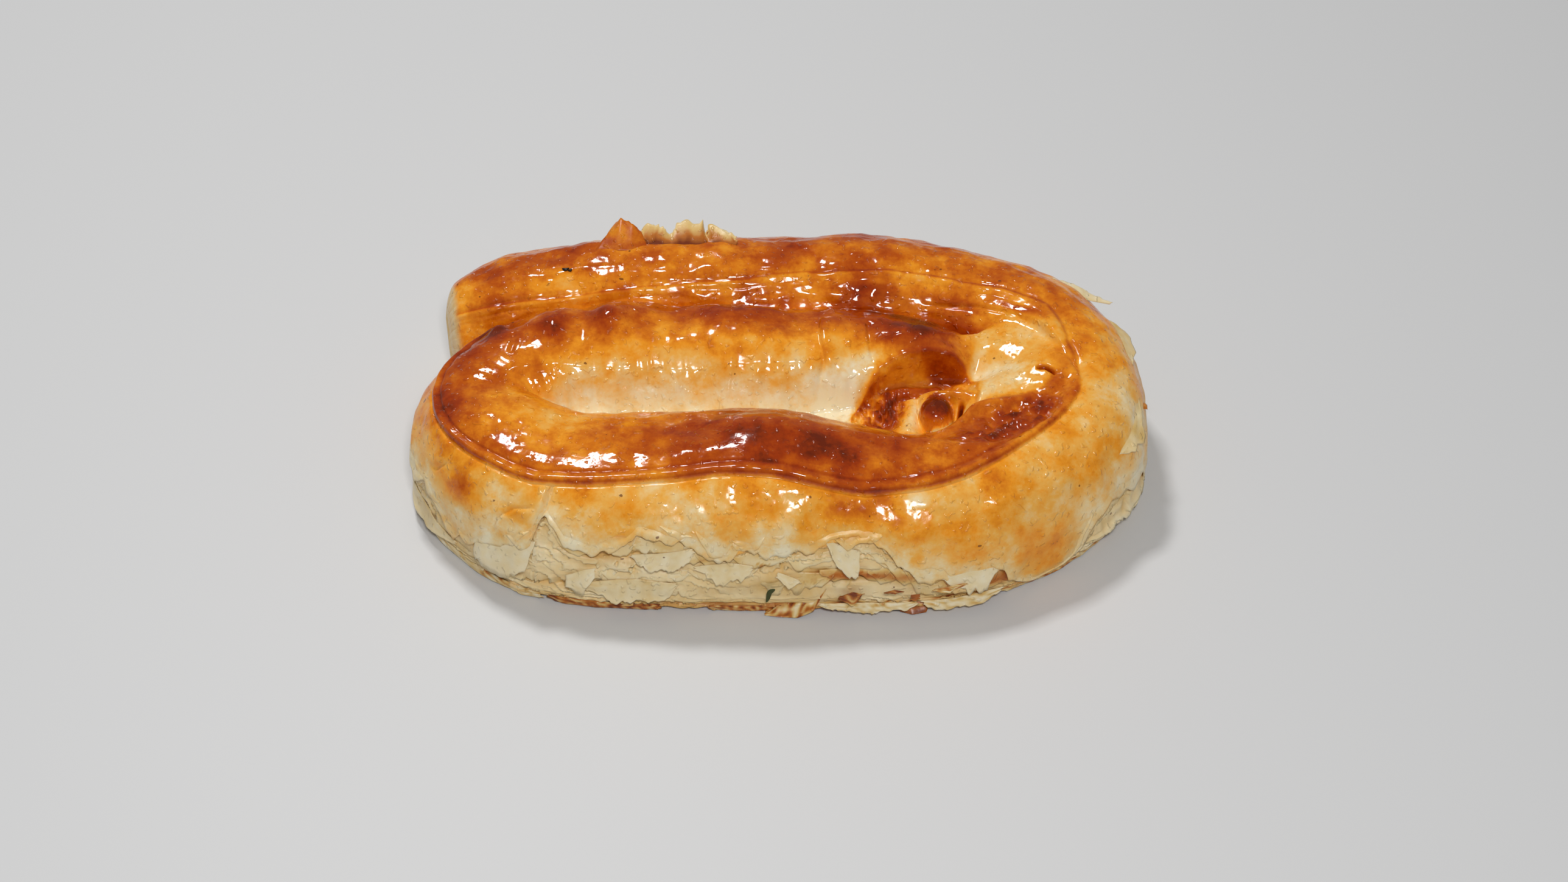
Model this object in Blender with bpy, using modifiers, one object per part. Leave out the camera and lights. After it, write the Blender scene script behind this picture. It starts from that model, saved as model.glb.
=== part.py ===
"""Coiled puff pastry: one long filled roll of dough, wound into an oval coil and baked.

Lengths are in metres, +Z is up, the coil rests on z = 0 and its long side runs along X.
The roll starts at the back left, runs along the back, round the right end, along the front, round the
left end and back along the middle, where its tip closes over a small open fold.
"""

import math

import bmesh
import bpy
import numpy as np
from mathutils import Euler, Matrix, Vector, noise

MM = 0.001

# Driving dimensions
SHOULDER = 9 * MM          # height of the roll's widest line above its base
BASE_CUT = 0.5 * MM        # slice taken off below, so that the base is one flat face
CREST_FULLNESS = 2.25      # superellipse exponent of the roll above its shoulder
BASE_FULLNESS = 5.0        # the same below the shoulder, where the weight flattens it
LIP_RISE = 1.3 * MM        # the overlapping sheet stands this far proud of the one under it
BEAD_RISE = 0.9 * MM       # rounded rim along the overlap's edge
GROOVE_DEPTH = 1.2 * MM    # crease just outside the rim
SHEET_STEP = 1.0 * MM      # depth of each torn sheet on the flaky sides
FILLING_HALF_WIDTH = 8 * MM
FILLING_HALF_HEIGHT = 5.5 * MM
FILLING_HEIGHT = 14 * MM   # centre of the filling above the base
FILLING_GAP = 0.4 * MM     # kept clear all round the filling
START_ROUNDING = 4 * MM    # edge round the cut end at the back left
TIP_ROUNDING = 8 * MM      # the same at the inner end
SWELL = 1.1 * MM           # low humps and hollows of the risen dough
RINGS = 190
RING_POINTS = 72
VOXEL = 1.15 * MM
SKIN_TRIANGLES = 8800
FILLING_TRIANGLES = 1700

# The roll's route and section, in millimetres: centre x and y, half width on the outer and on the
# inner side, height, and the angle of the overlap's edge round the section (0 outer side, 90 crest).
STATIONS = (
    (-88.0, 31.0, 16.5, 13.0, 29.0, 145),
    (-68.0, 33.5, 18.5, 15.0, 33.0, 132),
    (-40.0, 35.5, 19.0, 17.0, 36.5, 125),
    (-5.0, 36.0, 19.5, 18.0, 36.5, 115),
    (28.0, 36.0, 19.0, 19.0, 36.0, 109),
    (51.5, 30.5, 18.5, 20.0, 35.5, 107),
    (67.5, 19.5, 19.0, 22.0, 35.5, 96),
    (76.0, 4.0, 19.5, 24.0, 35.0, 86),
    (74.0, -11.0, 20.0, 25.0, 34.0, 87),
    (62.0, -23.0, 21.0, 24.0, 34.0, 80),
    (42.0, -32.0, 23.0, 20.0, 34.0, 68),
    (18.0, -34.5, 22.5, 21.0, 35.0, 60),
    (-6.0, -34.5, 23.0, 22.0, 38.5, 70),
    (-30.0, -34.0, 23.0, 22.0, 36.0, 68),
    (-54.0, -31.5, 22.5, 22.0, 34.0, 62),
    (-70.0, -22.0, 20.0, 21.0, 34.0, 57),
    (-75.5, -9.0, 19.5, 20.0, 34.0, 50),
    (-69.0, 2.0, 16.5, 20.0, 35.5, 44),
    (-54.0, 8.5, 16.5, 20.0, 37.0, 31),
    (-30.0, 10.0, 17.0, 20.0, 37.0, 18),
    (-5.0, 9.5, 17.0, 20.0, 37.0, 0),
    (18.0, 9.0, 17.0, 18.0, 36.0, -20),
    (36.0, 6.0, 16.0, 15.0, 35.0, -20),
    (50.0, 0.0, 14.0, 13.0, 32.0, -20),
)


# Soft hills and hollows seen from above, in millimetres: centre x and y, half length, half width, turn in
# degrees, height.
HILLS = (
    (0.0, -29.0, 15.0, 8.0, 8.0, 1.6),       # dark hump on the front of the coil
    (-22.0, -27.0, 7.0, 5.0, -20.0, -1.0),   # dip before it
    (36.0, -17.5, 14.0, 6.5, 8.0, -4.5),     # the front wall of the fold
    (57.0, -19.5, 13.0, 4.5, 17.0, -2.6),    # long wrinkled pocket at the front right
    (52.0, -14.0, 11.0, 2.2, 12.0, 1.2),     # lip behind that pocket
    (66.0, 8.0, 6.0, 6.0, 0.0, 1.7),         # blisters of the right end
    (63.0, -4.5, 9.0, 3.5, 8.0, -2.2),       # stretched sheet between the turns
    (35.0, 5.5, 14.0, 5.0, -4.0, 1.4),       # crown over the fold
    (9.0, 4.0, 1.6, 11.0, -8.0, -1.6),       # pleat across the inner turn
    (-40.0, 12.0, 9.0, 7.0, 0.0, 1.6),
    (-20.0, 10.0, 6.0, 6.0, 0.0, 0.9),
    (-72.0, 12.0, 2.6, 2.6, 0.0, 1.5),       # small knot at the left turn
    (-66.0, -18.0, 12.0, 7.0, 30.0, 0.8),
)
# Open fold: ellipsoids taken out, centre, half sizes (mm) and turns (degrees).
FOLD_HOLLOWS = (
    ((25.0, -9.0, 27.5), (11.5, 7.0, 7.5), (-22, 0, 18)),
    ((40.0, -4.5, 27.0), (8.0, 4.0, 4.5), (-35, 0, -4)),
)
KNOB_PLACE = (38.6, -14.5, 29.0)             # rounded knob that stands in the fold
KNOB_SIZE = (4.6, 4.4, 4.2)
# Loose sheets that stand off the roll: centre, length, reach and thickness in millimetres, turn round Z of
# the outward direction, tilt upwards in degrees and curl per reach in degrees.
LOOSE_SHEETS = (
    ((-35.0, 50.5, 33.0), 13, 5.0, 1.6, 96, 50, 60),
    ((-24.0, 52.0, 31.0), 15, 5.0, 1.6, 88, 34, 20),
    ((-13.0, 52.0, 31.5), 9, 4.0, 1.6, 84, 25, -30),
    ((79.0, 20.0, 31.0), 9, 6.0, 1.6, 28, 4, 10),
    ((91.0, -7.0, 20.0), 14, 3.0, 1.7, -4, 30, 20),
    ((90.0, -14.0, 14.0), 18, 3.5, 1.7, -14, 10, -20),
    ((81.0, -31.0, 9.0), 26, 3.5, 1.7, -42, 4, -25),
    ((1.0, -55.0, 2.6), 15, 5.0, 1.6, -86, 3, 30),
    ((34.0, -54.5, 2.2), 8, 3.5, 1.6, -84, 0, 30),
    ((-72.0, -40.0, 5.0), 26, 3.5, 1.7, 224, 4, -20),
    ((-88.0, -26.0, 13.0), 18, 3.0, 1.7, 203, 12, -30),
)
# Dough that closes the trough between the turns and surrounds the inner tip: centres and half sizes.
TROUGH_FLOOR = (
    ((-27.0, -10.5, 8.0), (47.0, 12.5, 14.5)),
    ((18.0, -11.0, 8.0), (40.0, 12.5, 13.0)),
    ((46.0, 5.0, 8.0), (32.0, 24.0, 17.0)),
)
SHEET_ROOT = 4.0                             # part of each sheet buried in the roll
SLOT_PLACE = (12.0, -46.0, 8.5)              # the filling shows at the front, low down
SLOT_SIZE = (31.0, 10.6, 4.2)
LOBE_PLACE = (23.0, -3.5, 15.5)              # and as a lobe in the fold
LOBE_SIZE = (10.0, 12.0, 7.0)


def clear_scene():
    for obj in list(bpy.data.objects):
        bpy.data.objects.remove(obj)


def smooth_route(stations, count):
    """Evenly spaced rows of (x, y, outer, inner, height, seam angle) along a Catmull-Rom spline."""
    knots = np.array(stations, float)
    knots = np.vstack([2 * knots[0] - knots[1], knots, 2 * knots[-1] - knots[-2]])
    dense = []
    for before, start, end, after in zip(knots, knots[1:], knots[2:], knots[3:]):
        for t in np.linspace(0, 1, 40, endpoint=False):
            dense.append(0.5 * (
                2 * start
                + (end - before) * t
                + (2 * before - 5 * start + 4 * end - after) * t ** 2
                + (3 * start - before - 3 * end + after) * t ** 3
            ))
    dense = np.array(dense + [knots[-2]])
    run = np.r_[0, np.cumsum(np.hypot(*np.diff(dense[:, :2], axis=0).T))]
    even = np.linspace(0, run[-1], count)
    rows = np.array([np.interp(even, run, column) for column in dense.T]).T
    rows[:, :5] *= MM
    return rows, even * MM


def outward_directions(rows):
    """Unit vectors across the route in plan, to its outer side."""
    ahead = np.gradient(rows[:, :2], axis=0)
    ahead /= np.linalg.norm(ahead, axis=1)[:, None]
    return [Vector((-y, x, 0)) for x, y in ahead]


def bump(value, centre, width):
    """A smooth hill of height 1 at centre, about twice width across."""
    return math.exp(-((value - centre) / width) ** 2)


def step(value, edge, width):
    """Rises from 0 to 1 as value passes edge."""
    return 1 / (1 + math.exp(-max(-60.0, min(60.0, (value - edge) / width))))


def ragged(run, seed, coarse=9 * MM, fine=2.5 * MM):
    """An uneven wave along the roll, about -1 to 1, for torn edges."""
    return (
        1.3 * noise.noise(Vector((run / coarse, seed, 0)))
        + 0.5 * noise.noise(Vector((run / fine, seed, 5)))
    )


def overlap_relief(degrees, seam, strength):
    """The dough's overlap: a raised sheet that ends in a rounded rim, with a crease outside it."""
    return strength * (
        LIP_RISE * step(degrees, seam, 1.2) * step(-degrees, -175, 8)
        + BEAD_RISE * bump(degrees, seam + 5, 3.0)
        - GROOVE_DEPTH * bump(degrees, seam - 4, 3.2)
    )


def flake_relief(degrees, run, length):
    """Steps where sheets of dough have torn off the outer side, one below the other."""
    depth = 0.0
    for number, (edge, reach) in enumerate(((34, 13), (14, 9), (-3, 7))):
        edge += reach * ragged(run, 3.7 * number)
        depth -= SHEET_STEP * step(-degrees, -edge, 1.2) * step(degrees, -38, 4)
    return depth * step(-run, -0.72 * length, 6 * MM)


def section_point(row, degrees, run, length):
    """Offset across the roll (outwards positive) and height of a point on its skin."""
    _, _, outer, inner, height, seam = row
    angle = math.radians(degrees)
    cos, sin = math.cos(angle), math.sin(angle)
    side = outer if cos >= 0 else inner
    rise = height - SHOULDER if sin >= 0 else SHOULDER
    power = 2 / (CREST_FULLNESS if sin >= 0 else BASE_FULLNESS)
    across = math.copysign(abs(cos) ** power, cos) * side
    up = SHOULDER + math.copysign(abs(sin) ** power, sin) * rise
    strength = 0.35 + 0.65 * step(run, 190 * MM, 12 * MM)
    relief = overlap_relief(degrees, seam, strength)
    if cos > 0:
        relief += flake_relief(degrees, run, length)
    return across + relief * cos, up + relief * sin


def end_taper(run, length):
    """Share of the full section near the two rounded ends."""
    start = min(1.0, (run + 0.3 * MM) / START_ROUNDING)
    tip = min(1.0, (length - run + 0.3 * MM) / TIP_ROUNDING)
    return math.sqrt(1 - (1 - start) ** 2) ** 0.7 * math.sqrt(1 - (1 - tip) ** 2)


def join_rings(shape, rings):
    """Skins neighbouring rings of points and closes both ends."""
    loops = [[shape.edges.get((a, b)) for a, b in zip(ring, ring[1:] + ring[:1])] for ring in rings]
    for first, second in zip(loops, loops[1:]):
        bmesh.ops.bridge_loops(shape, edges=first + second)
    bmesh.ops.holes_fill(shape, edges=loops[0] + loops[-1], sides=len(rings[0]))


def add_roll(shape):
    """The whole roll as rings of points along its route. Neighbouring turns press into each other."""
    rows, runs = smooth_route(STATIONS, RINGS)
    rings = []
    for row, run, outwards in zip(rows, runs, outward_directions(rows)):
        taper = end_taper(run, runs[-1])
        ring = bmesh.ops.create_circle(shape, segments=RING_POINTS, radius=1)["verts"]
        for number, vertex in enumerate(ring):
            degrees = 360 * number / RING_POINTS - 90
            across, up = section_point(row, degrees, run, runs[-1])
            up = SHOULDER + (up - SHOULDER) * taper
            place = Vector((row[0], row[1], up)) + outwards * across * taper
            skin = outwards * math.cos(math.radians(degrees))
            skin.z = math.sin(math.radians(degrees))
            swelling = SWELL * noise.fractal(place / (21 * MM), 0.9, 2.0, 3) * step(up, 4 * MM, MM)
            vertex.co = place + skin * swelling
        rings.append(ring)
    join_rings(shape, rings)


def ellipsoid(shape, centre, sizes, turns=(0, 0, 0), detail=4):
    """A closed ellipsoid, sizes in millimetres and turns in degrees."""
    turn = Euler([math.radians(angle) for angle in turns]).to_matrix().to_4x4()
    matrix = Matrix.Translation(Vector(centre) * MM) @ turn @ Matrix.Diagonal((*(s * MM for s in sizes), 1))
    return bmesh.ops.create_icosphere(shape, subdivisions=detail, radius=1, matrix=matrix)["verts"]


def add_loose_sheet(shape, number, sheet):
    """A torn sheet of dough with a ragged outer edge, rooted in the roll and curled at its rim."""
    centre, length, reach, thickness, heading, tilt, curl = sheet
    turn = Matrix.Rotation(math.radians(heading), 4, "Z") @ Matrix.Rotation(math.radians(-tilt), 4, "Y")
    flat = bmesh.new()
    bmesh.ops.create_grid(flat, x_segments=8, y_segments=12, size=0.5)
    for vertex in flat.verts:
        along, out = vertex.co.y, vertex.co.x + 0.5
        tear = 0.8 + 0.5 * noise.noise(Vector((along * 3.1, number * 2.3, 0)))
        tear *= 1 - 2.4 * abs(along) ** 2.5
        distance = out * (SHEET_ROOT + reach * tear) - SHEET_ROOT
        free = max(0.0, distance)
        bend = math.radians(curl) * free / reach
        local = Vector((distance - free + free * math.cos(bend), along * length, free * math.sin(bend)))
        vertex.co = Vector(centre) * MM + turn @ (local * MM)
    flat.normal_update()
    bmesh.ops.solidify(flat, geom=flat.faces, thickness=thickness * MM)
    bmesh.ops.recalc_face_normals(flat, faces=flat.faces)
    mesh = bpy.data.meshes.new("sheet")
    flat.to_mesh(mesh)
    flat.free()
    shape.from_mesh(mesh)
    bpy.data.meshes.remove(mesh)


def new_object(name, shape):
    """Turns a bmesh into an object of the scene."""
    bmesh.ops.recalc_face_normals(shape, faces=shape.faces)
    mesh = bpy.data.meshes.new(name)
    shape.to_mesh(mesh)
    shape.free()
    obj = bpy.data.objects.new(name, mesh)
    bpy.context.scene.collection.objects.link(obj)
    return obj


def bake(obj):
    """Replaces an object's mesh by what its modifiers make of it."""
    bpy.context.view_layer.update()
    result = bpy.data.meshes.new_from_object(obj.evaluated_get(bpy.context.evaluated_depsgraph_get()))
    obj.modifiers.clear()
    obj.data = result


def fuse(obj, voxel):
    """Makes one closed skin of overlapping shells."""
    remesh = obj.modifiers.new("One skin", "REMESH")
    remesh.mode = "VOXEL"
    remesh.voxel_size = voxel
    bake(obj)
    keep_outer_skin(obj)


def keep_outer_skin(obj):
    """Drops the skins of sealed hollows and loose scraps, so that one closed skin is left."""
    shape = bmesh.new()
    shape.from_mesh(obj.data)
    left, islands = set(shape.verts), []
    while left:
        queue = [left.pop()]
        island = set(queue)
        while queue:
            for edge in queue.pop().link_edges:
                for vertex in edge.verts:
                    if vertex in left:
                        left.discard(vertex)
                        island.add(vertex)
                        queue.append(vertex)
        islands.append(island)
    islands.sort(key=len)
    bmesh.ops.delete(shape, geom=[vertex for island in islands[:-1] for vertex in island])
    shape.to_mesh(obj.data)
    shape.free()


def thin_out(obj, triangles):
    """Keeps about the given number of triangles, most of them where the skin bends."""
    obj.data.calc_loop_triangles()
    decimate = obj.modifiers.new("Fewer faces", "DECIMATE")
    decimate.ratio = min(1.0, triangles / len(obj.data.loop_triangles))
    decimate.use_collapse_triangulate = True
    bake(obj)


def subtract(obj, cutter, solver="EXACT"):
    """Takes the cutter's solid out of the object and removes the cutter."""
    boolean = obj.modifiers.new("Hollow", "BOOLEAN")
    boolean.operation = "DIFFERENCE"
    boolean.solver = solver
    boolean.object = cutter
    bake(obj)
    bpy.data.objects.remove(cutter)


def raise_hills(obj):
    """Soft hills and hollows on the upper side."""
    shape = bmesh.new()
    shape.from_mesh(obj.data)
    for vertex in shape.verts:
        if vertex.normal.z < 0.05 or vertex.co.z < 14 * MM:
            continue
        rise = 0.0
        for x, y, half_length, half_width, turn, height in HILLS:
            local = Matrix.Rotation(math.radians(-turn), 2) @ (vertex.co.xy / MM - Vector((x, y)))
            rise += height * math.exp(-(local.x / half_length) ** 2 - (local.y / half_width) ** 2)
        vertex.co.z += rise * MM * vertex.normal.z
    bmesh.ops.smooth_vert(shape, verts=shape.verts, factor=0.3, use_axis_x=True, use_axis_y=True, use_axis_z=True)
    shape.to_mesh(obj.data)
    shape.free()


def flatten_base(obj):
    """Cuts the underside flat and sets it on z = 0."""
    shape = bmesh.new()
    shape.from_mesh(obj.data)
    cut = bmesh.ops.bisect_plane(
        shape,
        geom=shape.verts[:] + shape.edges[:] + shape.faces[:],
        plane_co=(0, 0, BASE_CUT),
        plane_no=(0, 0, 1),
        clear_inner=True,
    )
    rim = [item for item in cut["geom_cut"] if isinstance(item, bmesh.types.BMEdge)]
    bmesh.ops.holes_fill(shape, edges=rim, sides=0)
    bmesh.ops.translate(shape, verts=shape.verts, vec=(0, 0, -BASE_CUT))
    bmesh.ops.dissolve_degenerate(shape, edges=shape.edges, dist=0.00002)
    bmesh.ops.triangulate(shape, faces=[face for face in shape.faces if len(face.verts) > 3])
    bmesh.ops.recalc_face_normals(shape, faces=shape.faces)
    shape.to_mesh(obj.data)
    shape.free()


def add_filling_core(shape):
    """The filling along the middle of the roll, and what shows of it at the front and in the fold."""
    rows, runs = smooth_route(STATIONS, 60)
    directions = outward_directions(rows)
    rings = []
    for row, run, outwards in list(zip(rows, runs, directions))[2:-2]:
        end = min(1.0, min(run, runs[-1] - run) / (26 * MM))
        ring = bmesh.ops.create_circle(shape, segments=14, radius=1)["verts"]
        for number, vertex in enumerate(ring):
            angle = math.tau * number / 14
            vertex.co = Vector((row[0], row[1], FILLING_HEIGHT))
            vertex.co += outwards * math.cos(angle) * FILLING_HALF_WIDTH * end
            vertex.co.z += math.sin(angle) * FILLING_HALF_HEIGHT * end
        rings.append(ring)
    join_rings(shape, rings)
    for place, size in ((SLOT_PLACE, SLOT_SIZE), (LOBE_PLACE, LOBE_SIZE)):
        for vertex in ellipsoid(shape, place, size):
            vertex.co += vertex.co.normalized() * 0.5 * MM * noise.noise(vertex.co / (5 * MM))


def swollen_copy(obj, gap):
    """A copy of a solid, larger by the gap on every side."""
    shape = bmesh.new()
    shape.from_mesh(obj.data)
    shape.normal_update()
    for vertex, normal in [(vertex, vertex.normal.copy()) for vertex in shape.verts]:
        vertex.co += normal * gap
    return new_object(obj.name + " room", shape)


def dress(obj, name, colour, roughness):
    """Gives the object a plain material of its own and smooth shading."""
    material = bpy.data.materials.new(name)
    material.use_nodes = True
    shader = material.node_tree.nodes["Principled BSDF"]
    shader.inputs["Base Color"].default_value = (*colour, 1)
    shader.inputs["Roughness"].default_value = roughness
    obj.data.materials.clear()
    obj.data.materials.append(material)
    for polygon in obj.data.polygons:
        polygon.use_smooth = True


clear_scene()

core = bmesh.new()
add_filling_core(core)
filling = new_object("filling", core)
fuse(filling, 1.1 * MM)
thin_out(filling, FILLING_TRIANGLES)

dough = bmesh.new()
add_roll(dough)
ellipsoid(dough, KNOB_PLACE, KNOB_SIZE)
for place, size in TROUGH_FLOOR:
    ellipsoid(dough, place, size)
for sheet_number, loose_sheet in enumerate(LOOSE_SHEETS):
    add_loose_sheet(dough, sheet_number, loose_sheet)
pastry = new_object("coiled_pastry", dough)
fuse(pastry, VOXEL)
raise_hills(pastry)
for hollow in FOLD_HOLLOWS:
    scoop = bmesh.new()
    ellipsoid(scoop, *hollow)
    subtract(pastry, new_object("scoop", scoop))
thin_out(pastry, SKIN_TRIANGLES)
flatten_base(pastry)
subtract(pastry, swollen_copy(filling, FILLING_GAP))

corners = [pastry.matrix_world @ Vector(corner) for corner in pastry.bound_box]
middle = (Vector(map(min, *corners)) + Vector(map(max, *corners))) / 2
for piece in (pastry, filling):
    piece.data.transform(Matrix.Translation((-middle.x, -middle.y, 0)))

dress(pastry, "baked dough", (0.62, 0.31, 0.085), 0.35)
dress(filling, "soft filling", (0.66, 0.55, 0.30), 0.45)
food = bpy.data.collections.new("coiled_puff_pastry")
bpy.context.scene.collection.children.link(food)
for piece in (pastry, filling):
    bpy.context.scene.collection.objects.unlink(piece)
    food.objects.link(piece)
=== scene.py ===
"""Coiled puff pastry: looks of one long filled roll of dough, wound into an oval coil and baked.

The roll is one swept skin with its overlap rim, creases and torn layers as relief. A finely modelled
bed of dough fills the middle of the coil, with the filling bared in its open fold. Thin torn sheets,
loose flakes and a few dark flecks lie on the outside.
All sizes in the classes are millimetres; meshes are written in metres.
"""

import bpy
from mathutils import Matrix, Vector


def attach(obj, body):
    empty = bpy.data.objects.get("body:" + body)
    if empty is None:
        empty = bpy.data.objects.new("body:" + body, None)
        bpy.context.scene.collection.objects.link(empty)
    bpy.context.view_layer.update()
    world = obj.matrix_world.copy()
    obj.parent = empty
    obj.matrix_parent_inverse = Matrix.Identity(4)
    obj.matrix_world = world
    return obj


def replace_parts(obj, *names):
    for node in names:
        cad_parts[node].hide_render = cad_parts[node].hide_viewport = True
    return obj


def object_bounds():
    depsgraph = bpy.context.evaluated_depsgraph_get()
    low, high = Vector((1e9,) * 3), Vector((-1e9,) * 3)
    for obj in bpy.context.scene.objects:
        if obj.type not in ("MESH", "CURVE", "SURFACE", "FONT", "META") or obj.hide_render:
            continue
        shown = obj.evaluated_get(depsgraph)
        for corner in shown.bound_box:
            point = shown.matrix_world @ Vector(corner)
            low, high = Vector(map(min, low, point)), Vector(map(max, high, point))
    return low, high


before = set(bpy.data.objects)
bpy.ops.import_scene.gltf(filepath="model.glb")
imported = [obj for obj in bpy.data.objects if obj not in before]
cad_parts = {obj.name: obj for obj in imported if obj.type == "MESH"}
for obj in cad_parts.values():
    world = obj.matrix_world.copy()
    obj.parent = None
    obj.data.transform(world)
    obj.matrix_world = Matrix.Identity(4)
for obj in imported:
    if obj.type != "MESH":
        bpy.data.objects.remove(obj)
CAD_BOX = [list(corner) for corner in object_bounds()]

import logging
import math
from dataclasses import dataclass, field
from enum import Enum

import bmesh
import bpy
import numpy as np
from mathutils import Vector
from mathutils.bvhtree import BVHTree

log = logging.getLogger("coiled_pastry")

MM = 0.001
CENTRING = np.array((0.1, 1.7, -0.5))   # from the coil's own measuring point to the middle of its base
FLOOR_GAP = 0.02                        # the skin stays this far above the floor
SHEET_GAP = 0.5                         # thin sheets and flakes stay this far above the floor
SIDE_GAP = 0.08                         # everything stays this far inside the measured box
TOP_GAP = 0.1                           # and this far below its top
SOFT_EDGE = 2.0                         # the outermost part, squeezed gently into the measured box
MM_PER_DEGREE = 0.36                    # width of one degree round the section, on the skin
BED_LOW = 5.0                           # height of the bed's points where no skin lies under them
LOOK_FROM = 0.1                         # height in metres from which look_down looks
SAME_POINT = 1e-6                       # points closer than this, in metres, are one
Array = np.ndarray


class Piece(Enum):
    """Names of the visible pieces."""

    BACK = "roll_back_arm"
    BEND = "roll_right_bend"
    FRONT = "roll_front_arm"
    INNER = "roll_inner_arm"
    BED = "inner_bed"
    FILLING = "bared_filling"
    SHEETS = "torn_sheets"
    FLAKES = "loose_flakes"
    FLECKS = "dark_flecks"


def rise(value: Array, edge: Array | float, width: float) -> Array:
    """Goes smoothly from 0 to 1 as the value passes the edge.

    Args:
        value: Where to read the step.
        edge: Where the step is half way up.
        width: How gradual the step is.

    Returns:
        The step's height at each value.
    """
    return 1 / (1 + np.exp(-np.clip((np.asarray(value) - edge) / width, -60, 60)))


def hill(value: Array, centre: Array | float, width: float) -> Array:
    """A smooth hill of height 1.

    Args:
        value: Where to read the hill.
        centre: Where its top is.
        width: Distance from the top at which it has fallen to a third.

    Returns:
        The hill's height at each value.
    """
    return np.exp(-(((np.asarray(value) - centre) / width) ** 2))


def mix(first: Array | float, second: Array | float, share: Array) -> Array:
    """Goes from the first value to the second as the share goes from 0 to 1."""
    return first * (1 - share) + second * share


def read_table(table: tuple[tuple[float, float], ...], place: Array) -> Array:
    """Reads a table of places and values, straight between its rows."""
    return np.interp(place, *np.array(table, float).T)


def unrolled(run: Array, degrees: Array) -> Array:
    """Places on the roll's skin laid flat, one row each: along the roll, round the section and 0."""
    return np.column_stack([run, degrees * MM_PER_DEGREE, np.zeros(len(run))])


def seam_strength(run: Array) -> Array:
    """How strongly the overlap shows: weaker along the back."""
    return 0.3 + 0.7 * rise(run, 198.0, 8.0)


def srgb(red: int, green: int, blue: int) -> tuple[float, float, float, float]:
    """Turns a colour as seen, 0 to 255, into the linear one that shaders use.

    Args:
        red: Red share.
        green: Green share.
        blue: Blue share.

    Returns:
        The linear colour with full opacity.
    """
    def linear(channel: int) -> float:
        """One channel's linear value."""
        share = channel / 255
        return share / 12.92 if share <= 0.04045 else ((share + 0.055) / 1.055) ** 2.4

    return linear(red), linear(green), linear(blue), 1.0


class Grain:
    """Seeded gradient noise in three dimensions, read for whole arrays of points at once."""

    def __init__(self, seed: int = 7, cells: int = 256) -> None:
        """Draws the noise's cells.

        Args:
            seed: Chooses the pattern.
            cells: Number of cells before the pattern repeats.
        """
        draw = np.random.default_rng(seed)
        self.cells = cells
        self.order = draw.permutation(cells)
        slopes = draw.normal(size=(cells, 3))
        self.slopes = slopes / np.linalg.norm(slopes, axis=1)[:, None]

    def read(self, points: Array, scale: float | tuple[float, float, float], shift: float = 0.0) -> Array:
        """Reads the noise.

        Args:
            points: Points, one row each.
            scale: Size of a cell, or one size for each axis.
            shift: Moves the pattern, so that one seed gives many patterns.

        Returns:
            About -1 to 1 for each point.
        """
        order, slopes = self.order, self.slopes
        place = np.asarray(points, float) / np.asarray(scale, float) + shift * 17.31
        cell = np.floor(place).astype(int)
        part = place - cell
        ease = part * part * part * (part * (part * 6 - 15) + 10)
        total = np.zeros(len(place))
        for corner in np.ndindex(2, 2, 2):
            index = (cell + corner) % self.cells
            pick = order[(order[(order[index[:, 0]] + index[:, 1]) % self.cells] + index[:, 2]) % self.cells]
            weight = np.prod(np.where(corner, ease, 1 - ease), axis=1)
            total += weight * np.einsum("ij,ij->i", slopes[pick], part - corner)
        return total * 1.6

    def layers(self, points: Array, scale: float, count: int = 3, keep: float = 0.5) -> Array:
        """Several layers of the noise, each half as large and weaker.

        Args:
            points: Points, one row each.
            scale: Size of the largest cell.
            count: Number of layers.
            keep: Strength that each layer keeps of the one before.

        Returns:
            About -1 to 1 for each point.
        """
        total = sum(
            keep ** layer * self.read(points, scale / 2 ** layer, shift=layer + 1.0) for layer in range(count)
        )
        return total / sum(keep ** layer for layer in range(count))


GRAIN = Grain()


def line_noise(run: Array, scale: float, row: float) -> Array:
    """Noise along a line.

    Args:
        run: Distance along the line.
        scale: Size of a cell.
        row: Chooses one of many patterns.

    Returns:
        About -1 to 1 for each distance.
    """
    run = np.asarray(run, float)
    points = np.stack([run / scale, np.full_like(run, row * 3.7), np.full_like(run, row * 1.3)], axis=1)
    return GRAIN.read(points, 1.0)


def jagged(run: Array, scale: float, row: float) -> Array:
    """Angular noise along a line, as torn edges have: straight between chance heights.

    Args:
        run: Distance along the line.
        scale: Distance between two corners.
        row: Chooses one of many patterns.

    Returns:
        -1 to 1 for each distance.
    """
    place = np.asarray(run, float) / scale
    cell = np.floor(place).astype(int)
    heights = GRAIN.order / (GRAIN.cells / 2) - 1
    first, second = (
        heights[(GRAIN.order[(cell + step) % GRAIN.cells] + int(row * 37)) % GRAIN.cells] for step in (0, 1)
    )
    return first + (second - first) * (place - cell)


def oval_axes(points: Array, x: float, y: float, turn: float) -> tuple[Array, Array]:
    """Distances along and across a turned oval, seen from above.

    Args:
        points: Points, one row each, of which X and Y are used.
        x: The oval's middle.
        y: The oval's middle.
        turn: The long side's angle in degrees.

    Returns:
        Distances from the middle along the oval and across it.
    """
    angle = math.radians(turn)
    dx, dy = points[:, 0] - x, points[:, 1] - y
    return dx * math.cos(angle) + dy * math.sin(angle), dy * math.cos(angle) - dx * math.sin(angle)


def fade_ends(share: Array, rate: float) -> Array:
    """1 along a line, sinking to 0 at its two ends."""
    return np.clip(share * rate, 0, 1) * np.clip((1 - share) * rate, 0, 1)


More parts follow.
